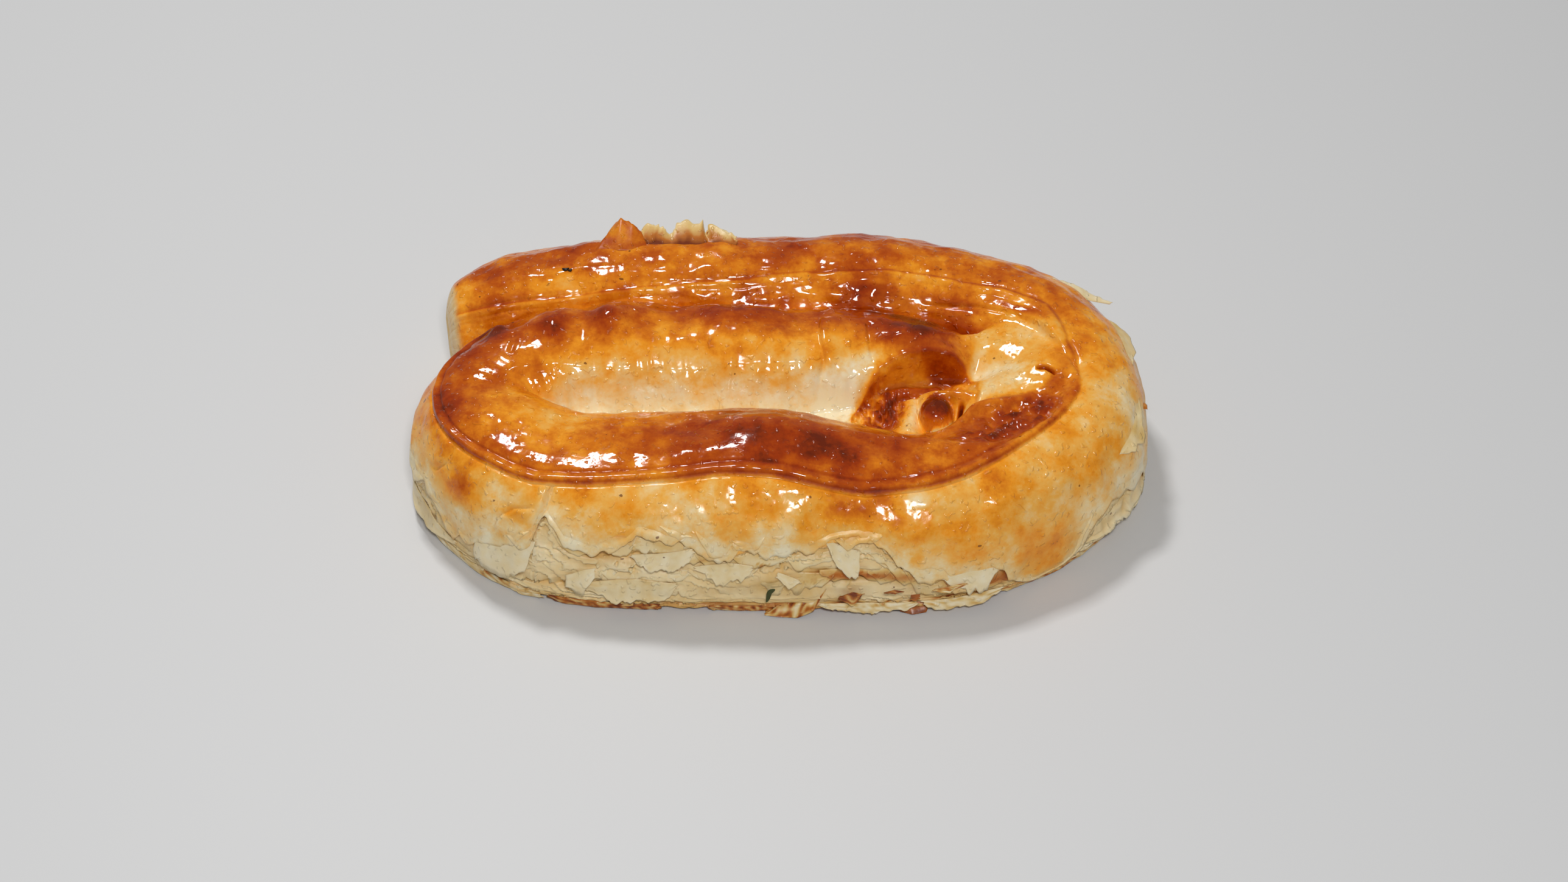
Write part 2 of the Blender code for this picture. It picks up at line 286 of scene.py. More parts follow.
@dataclass(frozen=True)
class Spot:
    """A soft oval seen from above: a hill, a hollow, or a browner or paler patch."""

    x: float
    y: float
    half_length: float
    half_width: float
    turn: float
    amount: float

    def read(self, points: Array) -> Array:
        """The spot's strength at each point.

        Args:
            points: Points, one row each, of which X and Y are used.

        Returns:
            The amount, fading outwards.
        """
        along, across = oval_axes(points, self.x, self.y, self.turn)
        return self.amount * np.exp(-((along / self.half_length) ** 2) - (across / self.half_width) ** 2)


def spots_at(spots: tuple[Spot, ...], points: Array) -> Array:
    """The sum of several spots at each point."""
    return sum((spot.read(points) for spot in spots), np.zeros(len(points)))


def path_distance(points: Array, path: tuple[tuple[float, float], ...]) -> tuple[Array, Array]:
    """Distance from a bent line seen from above.

    Args:
        points: Points, one row each, of which X and Y are used.
        path: The line's corners.

    Returns:
        The distance, positive to the left of the line's direction, and how far along the line, 0 to 1.
    """
    best = np.full(len(points), 1e9)
    share = np.zeros(len(points))
    sign = np.ones(len(points))
    corners = np.array(path, float)
    lengths = np.linalg.norm(np.diff(corners, axis=0), axis=1)
    runs = np.r_[0, np.cumsum(lengths)]
    for start, end, run, length in zip(corners, corners[1:], runs, lengths):
        way = (end - start) / length
        offset = points[:, :2] - start
        along = np.clip(offset @ way, 0, length)
        gap = offset - along[:, None] * way
        distance = np.linalg.norm(gap, axis=1)
        nearer = distance < best
        best = np.where(nearer, distance, best)
        share = np.where(nearer, (run + along) / runs[-1], share)
        side = way[0] * offset[:, 1] - way[1] * offset[:, 0]
        sign = np.where(nearer, np.where(side >= 0, 1.0, -1.0), sign)
    return best * sign, share


@dataclass
class RollRoute:
    """The roll's route in plan, and the outline of its section at each place along it.

    Each station has x, y, the half widths to the outer and the inner side, and the height. Each row of
    the seam line has the distance along the route and the angle of the overlap's edge.
    """

    stations: tuple[tuple[float, ...], ...] = (
        (-88.0, 30.0, 8.0, 13.0, 27.0),
        (-80.0, 31.5, 13.5, 14.0, 30.0),
        (-68.0, 33.5, 17.5, 15.0, 33.0),
        (-40.0, 35.5, 19.0, 17.0, 36.5),
        (-5.0, 36.0, 19.5, 18.0, 36.5),
        (28.0, 36.0, 19.0, 19.0, 36.0),
        (51.5, 30.5, 18.5, 20.0, 35.5),
        (67.5, 19.5, 19.0, 22.0, 35.5),
        (76.5, 4.0, 17.3, 24.5, 35.0),
        (74.5, -11.0, 18.5, 25.5, 34.0),
        (62.0, -23.0, 21.0, 24.0, 34.0),
        (42.0, -32.0, 23.0, 20.0, 34.0),
        (18.0, -34.5, 22.5, 22.5, 35.0),
        (-6.0, -34.5, 23.0, 26.0, 38.8),
        (-30.0, -34.0, 23.0, 25.5, 36.0),
        (-54.0, -31.5, 22.5, 24.5, 34.5),
        (-70.0, -22.0, 20.0, 22.5, 34.5),
        (-75.5, -9.0, 19.5, 20.0, 34.0),
        (-69.0, 2.0, 16.5, 20.0, 35.5),
        (-54.0, 8.5, 16.5, 20.0, 37.0),
        (-30.0, 10.0, 17.0, 20.0, 37.0),
        (-5.0, 9.5, 17.0, 20.0, 37.0),
        (18.0, 9.0, 17.0, 18.0, 36.0),
        (36.0, 6.0, 16.0, 15.0, 35.0),
        (50.0, 0.0, 14.0, 13.0, 32.0),
    )
    seam_line: tuple[tuple[float, float], ...] = (
        (0, 117), (14, 121), (30, 123), (47, 121), (67, 115), (78, 113), (86, 108), (94, 105), (100, 106),
        (116, 103), (137, 102), (152, 96), (162, 91),
        (177, 97), (186, 94), (201, 86), (217, 79), (228, 73), (241, 66), (256, 62), (267, 65), (275, 68),
        (292, 70), (310, 68), (326, 65), (332, 62), (342, 61), (350, 58), (361, 56), (373, 50), (385, 44),
        (410, 31), (440, 18), (470, 0), (498, -20),
    )
    shoulder: float = 9.0
    crest_fullness: float = 2.25
    base_fullness: float = 5.0
    start_rounding: float = 4.0
    tip_rounding: float = 8.0
    steps: int = 40
    table: Array = field(init=False)
    runs: Array = field(init=False)
    length: float = field(init=False)

    def __post_init__(self) -> None:
        """Draws a smooth curve through the stations and measures it."""
        knots = np.array(self.stations, float)
        knots = np.vstack([2 * knots[0] - knots[1], knots, 2 * knots[-1] - knots[-2]])
        share = np.linspace(0, 1, self.steps, endpoint=False)[:, None]
        rows = [
            0.5 * (
                2 * start
                + (end - before) * share
                + (2 * before - 5 * start + 4 * end - after) * share ** 2
                + (3 * start - before - 3 * end + after) * share ** 3
            )
            for before, start, end, after in zip(knots, knots[1:], knots[2:], knots[3:])
        ]
        table = np.vstack([*rows, knots[-2]])
        run = np.r_[0, np.cumsum(np.linalg.norm(np.diff(table[:, :2], axis=0), axis=1))]
        ahead = np.gradient(table[:, :2], axis=0)
        ahead /= np.linalg.norm(ahead, axis=1)[:, None]
        self.table = np.column_stack([table, -ahead[:, 1], ahead[:, 0]])
        self.runs = run
        self.length = float(run[-1])

    def at(self, run: Array) -> Array:
        """Rows of centre, half widths, height, seam angle and outward direction.

        Args:
            run: Distances along the route.

        Returns:
            One row of x, y, outer, inner, height, seam, outward x and outward y for each distance.
        """
        rows = [np.interp(run, self.runs, column) for column in self.table.T]
        rows.insert(5, read_table(self.seam_line, run))
        return np.array(rows).T

    def taper(self, run: Array) -> Array:
        """Share of the full section near the two rounded ends."""
        start = np.clip((run + 0.3) / self.start_rounding, 0, 1)
        tip = np.clip((self.length - run + 0.3) / self.tip_rounding, 0, 1)
        return np.sqrt(1 - (1 - start) ** 2) ** 0.7 * np.sqrt(1 - (1 - tip) ** 2)

    def outline(self, run: Array, degrees: Array) -> tuple[Array, Array, Array]:
        """Points on the plain roll, before any relief.

        Args:
            run: Distance along the route of each point.
            degrees: Angle round the section of each point, 0 on the outer side and 90 on the crest.

        Returns:
            The points, the outward direction of the skin at each, and the seam angle there.
        """
        row = self.at(run)
        cos, sin = np.cos(np.radians(degrees)), np.sin(np.radians(degrees))
        side = np.where(cos >= 0, row[:, 2], row[:, 3])
        height = np.where(sin >= 0, row[:, 4] - self.shoulder, self.shoulder)
        power = 2 / np.where(sin >= 0, self.crest_fullness, self.base_fullness)
        across = np.sign(cos) * np.abs(cos) ** power * side
        up = np.sign(sin) * np.abs(sin) ** power * height
        taper = self.taper(run)
        points = np.column_stack([
            row[:, 0] + row[:, 6] * across * taper,
            row[:, 1] + row[:, 7] * across * taper,
            self.shoulder + up * taper,
        ])
        skin = np.column_stack([row[:, 6] * cos, row[:, 7] * cos, sin])
        return points, skin, row[:, 5]


@dataclass(frozen=True)
class Crack:
    """A pleat or crack in the skin, along a bent line."""

    path: tuple[tuple[float, float], ...]
    depth: float
    half_width: float
    step: float = 0.0

    def read(self, points: Array) -> Array:
        """Height that the crack adds.

        Args:
            points: Points, one row each, of which the first two columns are used.

        Returns:
            Height in millimetres: a hollow on the line, and the left side standing over the right.
        """
        distance, share = path_distance(points, self.path)
        step = rise(distance, 0, self.half_width * 0.4) * hill(distance, 0, self.half_width * 6)
        return (self.step * step - self.depth * hill(distance, 0, self.half_width)) * fade_ends(share, 8)


@dataclass
class DoughRelief:
    """Everything that stands off or dips into the plain roll.

    Hills and pleats are placed in plan. Cracks and hollows are placed on the skin laid flat, and the torn
    edge by its angle at each distance along the roll.
    """

    route: RollRoute
    lip_rise: float = 0.45
    bead_rise: float = 0.6
    groove_depth: float = 0.35
    sheet_step: float = 0.9
    shingle: float = 9.5
    shingle_rise: float = 1.7
    swell: float = 1.1
    hills: tuple[Spot, ...] = (
        Spot(0.0, -29.0, 15.0, 8.0, 8.0, 1.6),
        Spot(-22.0, -27.0, 7.0, 5.0, -20.0, -1.0),
        Spot(36.0, -17.5, 14.0, 6.5, 8.0, -4.5),
        Spot(66.0, 8.0, 6.0, 6.0, 0.0, 1.7),
        Spot(63.0, -4.5, 9.0, 3.5, 8.0, -2.2),
        Spot(35.0, 5.5, 14.0, 5.0, -4.0, 1.4),
        Spot(-43.0, 11.5, 5.0, 8.0, 0.0, 2.3),
        Spot(-57.5, 9.5, 4.0, 8.0, 0.0, 1.6),
        Spot(-50.0, 10.0, 2.6, 8.0, 0.0, -0.6),
        Spot(-26.5, 12.0, 5.5, 8.0, 0.0, -1.6),
        Spot(-12.0, 12.0, 6.5, 7.0, 0.0, 1.0),
        Spot(5.0, 12.0, 4.5, 8.0, 0.0, -1.2),
        Spot(-72.5, 11.0, 2.4, 2.4, 0.0, 1.7),
        Spot(-66.0, -18.0, 12.0, 7.0, 30.0, 0.8),
    )
    pleats: tuple[Crack, ...] = (
        Crack(((9.5, 13.0), (9.8, 4.4), (11.0, -1.0), (9.5, -6.0)), 0.7, 0.6, 0.9),
        Crack(((21.9, 11.0), (22.3, 4.0), (23.2, -1.0)), 0.6, 0.5, -0.6),
        Crack(((-68.0, 6.5), (-67.3, 3.0), (-68.3, -0.5)), 0.8, 0.6),
        Crack(((36.0, 22.5), (50.0, 20.0), (60.0, 15.5), (66.0, 10.0), (70.0, 4.0)), 0.6, 0.5, 0.35),
        Crack(((-33.0, 4.0), (-33.5, -1.0), (-33.0, -6.0)), 0.35, 0.35, 0.3),
    )
    cracks: tuple[Crack, ...] = (
        Crack(((328.3, 23.0), (328.8, 16.5), (331.0, 8.0)), 1.2, 0.45, 0.4),
        Crack(((337.5, 8.0), (336.5, 12.0), (334.0, 15.0), (330.5, 16.5)), 0.5, 0.35, 0.5),
        Crack(((350.5, 20.5), (350.0, 15.5), (352.0, 11.0)), 0.8, 0.4, 0.4),
    )
    hollows: tuple[Spot, ...] = (
        Spot(227.0, -1.0, 7.5, 1.5, 4.0, -3.2),
        Spot(255.0, 3.1, 13.0, 1.2, 2.0, -2.8),
        Spot(268.0, 1.6, 9.0, 0.9, -6.0, -1.8),
        Spot(306.0, 6.4, 7.0, 1.1, 14.0, -2.8),
        Spot(293.0, 7.0, 8.0, 1.0, -8.0, -2.6),
        Spot(318.0, 7.4, 5.0, 1.0, 10.0, -2.4),
        Spot(282.5, 5.4, 6.0, 1.0, 4.0, -2.4),
        Spot(303.5, 10.0, 4.0, 0.8, 20.0, -1.8),
        Spot(200.0, 3.4, 7.0, 1.2, 14.0, -2.8),
        Spot(209.5, -1.0, 1.6, 3.0, -30.0, -2.4),
        Spot(198.0, -2.5, 11.0, 3.2, 0.0, 1.9),
        Spot(330.0, -1.5, 8.0, 0.9, -12.0, -1.8),
        Spot(345.0, -2.6, 7.0, 0.8, 6.0, -1.5),
        Spot(283.0, -8.0, 18.0, 3.4, 0.0, -0.5),
    )
    torn_edge: tuple[tuple[float, float], ...] = (
        (0, 16), (60, 20), (150, 24), (165, 20), (178, 8), (188, 4), (196, 10), (201, 17), (206, 14),
        (209, 4), (212, -10), (216, -22), (221, -22), (224, -10), (228, 4), (237, 1), (239, 8),
        (247, 16), (251, 27), (255, 35), (260, 33), (269, 26), (275, 25), (290, 23), (296, 30), (300, 35),
        (309, 38), (312, 31), (316, 30), (320, 27), (325, 31), (328.2, 44), (329.4, 42), (330.5, 24),
        (335, 20), (337, 16), (342, 3), (346, 2), (350, 8), (353, 20), (356, 14), (362, 8), (372, 2),
        (385, -6), (498, -30),
    )

    def overlap(self, run: Array, degrees: Array, seam: Array) -> Array:
        """The overlap's raised sheet, its rolled rim, the fine crease behind it and the groove outside.

        Args:
            run: Distance along the roll of each point.
            degrees: Angle round the section of each point.
            seam: Angle of the overlap's edge there.

        Returns:
            Height of the relief in millimetres.
        """
        past = degrees - seam
        bead = 1 + 0.3 * line_noise(run, 6.0, 3)
        crease = 0.34 * np.clip(0.6 + 0.9 * line_noise(run, 14.0, 6), 0, 1)
        return seam_strength(run) * (
            self.lip_rise * rise(past, 0, 0.4) * rise(-degrees, -175, 8)
            + self.bead_rise * bead * hill(past, 3.2, 2.3)
            - crease * hill(past, 7.6, 1.0)
            - self.groove_depth * hill(past, -1.2, 1.1)
        )

    def torn_line(self, run: Array) -> Array:
        """Angle below which the outermost sheet has torn off."""
        ragged = 2.6 * jagged(run, 5.3, 4) + 1.8 * jagged(run, 2.1, 5) + 0.9 * jagged(run, 0.9, 6)
        return read_table(self.torn_edge, run) + ragged

    def torn_amount(self, run: Array, degrees: Array) -> Array:
        """How bare the dough is: 0 on the outermost sheet and 1 where that has torn off."""
        ends = rise(-run, -2.6 - 0.5 * jagged(degrees, 9.0, 8), 0.25)
        return np.maximum(rise(self.torn_line(run), degrees, 0.5), ends)

    def sheet_place(self, run: Array, degrees: Array) -> tuple[Array, Array]:
        """Where each point lies on the torn side's sheets, which overlap like shingles.

        Args:
            run: Distance along the roll of each point.
            degrees: Angle round the section of each point.

        Returns:
            0 at the top of a sheet to 1 at its torn lower edge, and how far the sheets stand off there.
        """
        grid = unrolled(run, degrees)
        field = (self.torn_line(run) - degrees) / self.shingle
        field += 1.0 * GRAIN.read(grid, (26.0, 6.0, 1), 60) + 0.55 * GRAIN.read(grid, (9.0, 2.4, 1), 61)
        field += 0.30 * GRAIN.read(grid, (3.4, 1.3, 1), 62) + 0.14 * GRAIN.read(grid, (1.3, 0.7, 1), 63)
        strength = np.clip(0.55 + 1.1 * GRAIN.read(grid, (15.0, 4.5, 1), 64), 0.05, 1.3)
        smooth = rise(run, 254, 3) * rise(-run, -300, 4) * rise(-degrees, -1, 2)
        return field - np.floor(field), strength * (1 - 0.9 * smooth)

    def layers(self, run: Array, degrees: Array) -> Array:
        """Torn sheets below the torn edge, and the hollows between them.

        Args:
            run: Distance along the roll of each point.
            degrees: Angle round the section of each point.

        Returns:
            Height of the relief in millimetres.
        """
        edge = self.torn_line(run)
        place, strength = self.sheet_place(run, degrees)
        bare = rise(edge, degrees, 0.4)
        grid = unrolled(run, degrees)
        depth = self.shingle_rise * strength * (place ** 1.3 - 0.55) - self.sheet_step
        depth += 0.30 * GRAIN.read(grid, (7.0, 2.4, 1), 3) + 0.20 * GRAIN.read(grid, (2.4, 1.0, 1), 4)
        depth += 0.12 * GRAIN.read(grid, (5.0, 0.5, 1), 14)
        depth += spots_at(self.hollows, grid)
        return bare * depth * rise(degrees, -40, 2.5) * rise(-run, -380, 5)

    def ripples(self, run: Array, degrees: Array, points: Array) -> Array:
        """Blisters and fine wrinkles of the baked skin.

        Args:
            run: Distance along the roll of each point.
            degrees: Angle round the section of each point.
            points: The points on the plain roll.

        Returns:
            Height of the relief in millimetres.
        """
        grid = unrolled(run, degrees)
        upright = rise(run, 365.0, 6) * rise(degrees, 112, 8)
        along = rise(run, 205.0, 10) * rise(-run, -350.0, 10) * rise(degrees, 55, 6)
        back = rise(-run, -175.0, 8)
        even = 1 - 0.6 * upright - 0.45 * along
        return (
            0.42 * even * GRAIN.read(points, 7.5, 5)
            + 0.17 * even * GRAIN.read(points, 3.6, 6)
            + 0.06 * GRAIN.read(points, 1.9, 7)
            + 0.70 * upright * GRAIN.read(grid, (4.4, 14.0, 1), 8)
            + 0.18 * upright * GRAIN.read(grid, (1.8, 6.0, 1), 9)
            + 0.30 * along * GRAIN.read(grid, (15.0, 3.6, 1), 10)
            + 0.10 * along * GRAIN.read(grid, (6.0, 1.7, 1), 11)
            + 0.28 * back * GRAIN.read(grid, (12.0, 3.0, 1), 12)
            + 0.12 * back * GRAIN.read(grid, (5.0, 1.7, 1), 13)
        )

    def displaced(self, run: Array, degrees: Array, torn: bool = True) -> tuple[Array, Array, Array]:
        """Points of the finished skin.

        Args:
            run: Distance along the roll of each point.
            degrees: Angle round the section of each point.
            torn: Whether the torn layers are cut into it.

        Returns:
            The points, the direction the skin faces roughly, and the relief's height in millimetres.
        """
        points, skin, seam = self.route.outline(run, degrees)
        above = rise(points[:, 2], 4, 1)
        relief = self.swell * GRAIN.layers(points, 24.0) * above
        relief += self.overlap(run, degrees, seam)
        relief += self.ripples(run, degrees, points) * above
        upward = rise(skin[:, 2], 0.1, 0.1)
        relief += sum(pleat.read(points) for pleat in self.pleats) * upward
        grid = unrolled(run, degrees)
        relief += sum(crack.read(grid) for crack in self.cracks)
        if torn:
            relief += self.layers(run, degrees)
        relief *= self.route.taper(run) ** 0.5
        points = points + skin * relief[:, None]
        top = rise(skin[:, 2], 0.15, 0.08) * rise(points[:, 2], 15, 1.5)
        points[:, 2] += spots_at(self.hills, points) * top
        return points, skin, relief


@dataclass
class BrowningAndShade:
    """How far each place has baked, with some painted shade and painted highlight on top: 0 is pale dough, 1
    nearly burnt.

    Patches are placed in plan, darker spots and blots on the skin laid flat; the darker spots hold baked
    brown spots and painted shade in hollows of the torn side. The inner scale gives the tone of the innermost
    arm by angle.
    """

    patches: tuple[Spot, ...] = (
        Spot(-84.0, -17.0, 11.0, 5.5, -60.0, 0.24),
        Spot(-80.0, 2.0, 8.0, 4.0, 50.0, 0.10),
        Spot(1.5, -36.0, 21.0, 8.5, -2.0, 0.28),
        Spot(12.0, -34.0, 9.0, 4.0, -12.0, 0.10),
        Spot(-16.0, -25.0, 12.0, 3.0, 16.0, 0.14),
        Spot(-58.0, -21.0, 18.0, 9.0, 10.0, -0.25),
        Spot(-74.0, 2.0, 6.0, 8.0, 0.0, 0.06),
        Spot(34.0, 4.8, 13.0, 7.5, -14.0, 0.30),
        Spot(16.0, 4.0, 4.0, 9.0, 0.0, -0.12),
        Spot(20.5, 26.2, 11.0, 1.5, -3.0, 0.20),
        Spot(12.0, 23.6, 8.0, 1.0, -3.0, 0.12),
        Spot(30.5, 15.2, 12.0, 2.6, -14.0, 0.30),
        Spot(60.5, 17.0, 5.5, 1.0, -27.0, 0.35),
        Spot(-44.5, 8.0, 4.0, 7.0, 10.0, 0.26),
        Spot(-58.0, 7.0, 5.0, 6.0, 0.0, 0.20),
        Spot(-72.0, 10.0, 5.0, 4.0, 0.0, 0.25),
        Spot(-14.0, 14.0, 12.0, 5.0, -4.0, 0.16),
        Spot(66.0, 8.0, 8.0, 7.0, -20.0, -0.22),
        Spot(58.0, 29.0, 16.0, 4.5, -28.0, 0.14),
        Spot(-62.0, 38.0, 16.0, 4.5, 8.0, 0.18),
        Spot(-45.0, 28.0, 22.0, 3.0, 2.0, -0.18),
        Spot(-82.0, 26.0, 5.0, 10.0, 0.0, -0.16),
        Spot(-6.0, 45.0, 30.0, 4.0, 0.0, 0.10),
        Spot(28.0, 44.0, 14.0, 4.0, -4.0, 0.14),
        Spot(80.0, 10.0, 6.0, 9.0, 10.0, -0.16),
        Spot(87.0, -12.0, 5.0, 16.0, -4.0, -0.20),
        Spot(60.0, -44.0, 9.0, 3.0, 30.0, -0.12),
        Spot(74.0, -36.0, 7.0, 5.0, 40.0, -0.12),
        Spot(-22.0, 24.0, 24.0, 2.6, -1.0, -0.10),
        Spot(46.0, -27.0, 7.0, 6.0, 0.0, 0.06),
        Spot(84.0, -18.0, 3.5, 7.0, 10.0, 0.10),
        Spot(18.0, -49.0, 10.0, 4.5, 0.0, 0.30),
        Spot(52.0, -47.0, 10.0, 3.5, 20.0, 0.14),
        Spot(32.0, -47.0, 3.4, 3.0, 0.0, -0.30),
        Spot(-32.0, -50.0, 7.0, 3.0, 0.0, 0.14),
        Spot(-79.0, -36.0, 4.0, 2.4, 40.0, 0.12),
    )
    front_tones: tuple[float, float] = (0.15, 0.38)
    back_tones: tuple[float, float] = (0.28, 0.60)
    inner_tones: tuple[float, float] = (0.62, 0.50)
    inner_scale: tuple[tuple[float, float], ...] = (
        (40, 0.62), (72, 0.68), (86, 0.63), (96, 0.52), (106, 0.44), (120, 0.33), (133, 0.21), (143, 0.08),
        (153, 0.0), (190, 0.0),
    )
    # spots that darken the bared dough: baked brown spots and browned streaks, and painted shade in two
    # hollows
    darker_spots: tuple[Spot, ...] = (
        # painted shade in the hollow under the ledge
        Spot(257.0, 2.8, 13.0, 1.4, 2.0, 0.42),
        Spot(279.0, 0.9, 10.0, 1.6, 0.0, 0.20),
        # painted shade in the hollow at run 227
        Spot(226.0, -0.5, 8.0, 1.6, 0.0, 0.12),
        Spot(236.0, 1.6, 6.0, 1.8, 0.0, 0.16),
        Spot(300.0, -8.0, 60.0, 2.6, 0.0, 0.22),
        Spot(259.0, -5.6, 2.6, 1.1, 0.0, 0.85),
        Spot(249.5, -4.2, 1.6, 0.8, -20.0, 0.75),
        Spot(244.6, -4.6, 1.1, 0.9, 0.0, 0.8),
        Spot(238.0, -3.4, 2.4, 0.5, -14.0, 0.6),
        Spot(232.0, -5.2, 1.6, 0.5, 8.0, 0.6),
        Spot(247.0, -7.8, 8.0, 0.5, 6.0, 0.45),
    )
    blots: tuple[Spot, ...] = (
        Spot(216.0, 1.6, 6.0, 4.0, 0.0, 0.24),
        Spot(344.0, 5.0, 8.0, 3.0, 0.0, -0.14),
        Spot(344.0, 13.5, 3.0, 3.0, 60.0, 0.22),
        Spot(334.0, 14.0, 2.6, 1.6, 20.0, 0.22),
    )

    def read(self, points: Array, run: Array, degrees: Array, seam: Array, relief: Array) -> Array:
        """The baked tone of each point, with painted shade and a painted highlight along the overlap's edge.

        Args:
            points: Points of the finished skin.
            run: Distance along the roll of each.
            degrees: Angle round the section of each.
            seam: Angle of the overlap's edge there.
            relief: Height of the relief there.

        Returns:
            0 to 1 for each point.
        """
        past = degrees - seam
        inside = rise(past, 0.4, 0.5)
        back = rise(-run, -182.0, 7)
        coiled = rise(run, 372, 6)
        crown = rise(degrees, 42, 9)
        above = np.clip((degrees - read_table(DoughRelief.torn_edge, run)) / 34, 0, 1)
        outer_tone = mix(mix(*self.front_tones, above), mix(*self.back_tones, crown), back)
        tone = mix(outer_tone, mix(*self.inner_tones, back), inside)
        tone -= 0.30 * rise(26.5, points[:, 2], 2.6) * inside * (1 - coiled) * (1 - back)
        tone += 0.24 * rise(31.0, points[:, 2], 1.2) * inside * back * rise(run, 38, 5)
        wave = degrees + 7 * GRAIN.read(points, (7.0, 30.0, 30.0), 70)
        tone = mix(tone, read_table(self.inner_scale, wave), coiled)
        tone += spots_at(self.patches, points)
        tone += spots_at(self.blots, unrolled(run, degrees))
        tone += (0.22 + 0.10 * back) * GRAIN.layers(points, 15.0) + 0.09 * GRAIN.read(points, 4.0, 12)
        tone += 0.04 * np.clip(relief, -2, 2)
        strength = seam_strength(run)
        # darker on the overlap's edge and in the fine crease behind the rim, partly browner glaze and partly
        # painted shade; a little lighter on the rim's top, a painted highlight
        rim = 0.16 * hill(past, 0.6, 1.0) + 0.10 * hill(past, 7.8, 1.2) - 0.05 * hill(past, 3.6, 1.6)
        tone += strength * rim
        # along the back, where the overlap barely stands out, a darker line at its edge: partly browner
        # glaze, partly painted shade
        tone += 0.14 * (1 - strength) * hill(past, 0.0, 1.2)
        return np.clip(tone, 0.0, 1.0)

    def bare(self, relief: DoughRelief, run: Array, degrees: Array) -> Array:
        """The tone of dough that the tear has bared: 0 cream, 0.4 deep in a fold, where the darker tone is
        painted shade, and 1 baked dark brown.

        Args:
            relief: The dough's relief.
            run: Distance along the roll of each point.
            degrees: Angle round the section of each.

        Returns:
            0 to 1 for each point.
        """
        grid = unrolled(run, degrees)
        place, strength = relief.sheet_place(run, degrees)
        # each sheet is painted darker at its top, recessed under the sheet above, and lighter at its standing
        # lower edge: painted shade and painted light
        tone = 0.25 - 0.24 * strength * (place - 0.3) + 0.22 * GRAIN.layers(grid, 9.0)
        # darker towards the bottom of the torn side between runs 222 and 312: painted shade of the low parts
        tone += 0.22 * rise(-degrees, 8, 5) * rise(run, 222, 6) * rise(-run, -312, 6)
        tone += 0.16 * hill(run, 0, 4) * line_noise(run, 0.45, 91)
        tone += 0.22 * rise(degrees, relief.torn_line(run) - 12, 5)
        # the hollows between the sheets are painted darker: painted shade
        tone += spots_at(self.darker_spots, grid) - 0.09 * np.minimum(spots_at(relief.hollows, grid), 0)
        browned = 0.45 - 0.30 * rise(run, 326, 8)
        tone += browned * rise(-degrees, 30, 3) * (0.6 + 0.8 * line_noise(run, 7.0, 77))
        return np.clip(tone, 0.0, 1.0)


@dataclass(frozen=True)
class ColourStep:
    """One colour of a baking scale."""

    place: float
    colour: tuple[float, float, float, float]


@dataclass(frozen=True)
class CrustFinish:
    """Egg-washed puff dough: from cream through gold to dark brown, glossy where whole, matt where torn."""

    name: str = "baked_puff_dough"
    scale: tuple[ColourStep, ...] = (
        ColourStep(0.00, srgb(244, 228, 190)),
        ColourStep(0.14, srgb(242, 206, 142)),
        ColourStep(0.28, srgb(243, 180, 82)),
        ColourStep(0.42, srgb(241, 154, 34)),
        ColourStep(0.54, srgb(219, 122, 18)),
        ColourStep(0.68, srgb(188, 84, 6)),
        ColourStep(0.84, srgb(158, 54, 2)),
        ColourStep(1.00, srgb(108, 34, 3)),
    )
    bare: tuple[ColourStep, ...] = (
        ColourStep(0.00, srgb(248, 234, 200)),
        ColourStep(0.25, srgb(240, 216, 166)),
        ColourStep(0.50, srgb(224, 184, 112)),
        ColourStep(0.75, srgb(190, 110, 38)),
        ColourStep(1.00, srgb(116, 46, 8)),
    )
    speck: tuple[float, float, float, float] = srgb(96, 38, 10)
    gloss: float = 0.05
    matt: float = 0.48
    patch_cells: float = 120.0
    mottle_cells: float = 260.0
    wave_cells: float = 420.0
    speck_cells: float = 620.0
    blister_cells: float = 760.0
    streak_cells: float = 900.0
    grain_cells: float = 1500.0

    def build(self) -> bpy.types.Material:
        """Makes the material.

        Returns:
            The material, which reads the attributes tone, torn and gloss of its piece.
        """
        kit = NodeKit(self.name)
        tone, torn, gloss = kit.attribute("tone"), kit.attribute("torn"), kit.attribute("gloss")
        place = kit.object_place()
        mottle = kit.noise(place, self.mottle_cells, 5.0, 0.62)
        streak = kit.noise(place, self.streak_cells, 4.0, 0.6)
        patches = kit.contrast(kit.noise(place, self.patch_cells, 7.0, 0.70), 0.42, 0.58)
        baked = kit.mix_values(
            tone, kit.centred(mottle, 0.15), kit.centred(streak, 0.09), kit.centred(patches, 0.045)
        )
        colour = kit.ramp(baked, self.scale)
        bare = kit.mix_values(tone, kit.centred(mottle, 0.10), kit.centred(streak, 0.05))
        colour = kit.blend(torn, colour, kit.ramp(bare, self.bare))
        specks = kit.contrast(kit.noise(place, self.speck_cells, 1.0, 0.3), 0.79, 0.82)
        colour = kit.blend(kit.scaled(specks, 0.75), colour, self.speck)
        rough = kit.between(gloss, self.matt, self.gloss)
        rough = kit.mix_values(rough, kit.centred(mottle, 0.05))
        fine = kit.bump(kit.noise(place, self.grain_cells, 1.0, 0.4), 0.06, 0.0002)
        middle = kit.bump(kit.noise(place, self.wave_cells, 2.0, 0.4), 0.20, 0.0005, fine)
        blisters = kit.contrast(kit.noise(place, self.blister_cells, 0.0, 0.0), 0.66, 0.80)
        kit.surface(colour, rough, kit.bump(blisters, 0.5, 0.0005, middle), subsurface=0.10)
        return kit.material


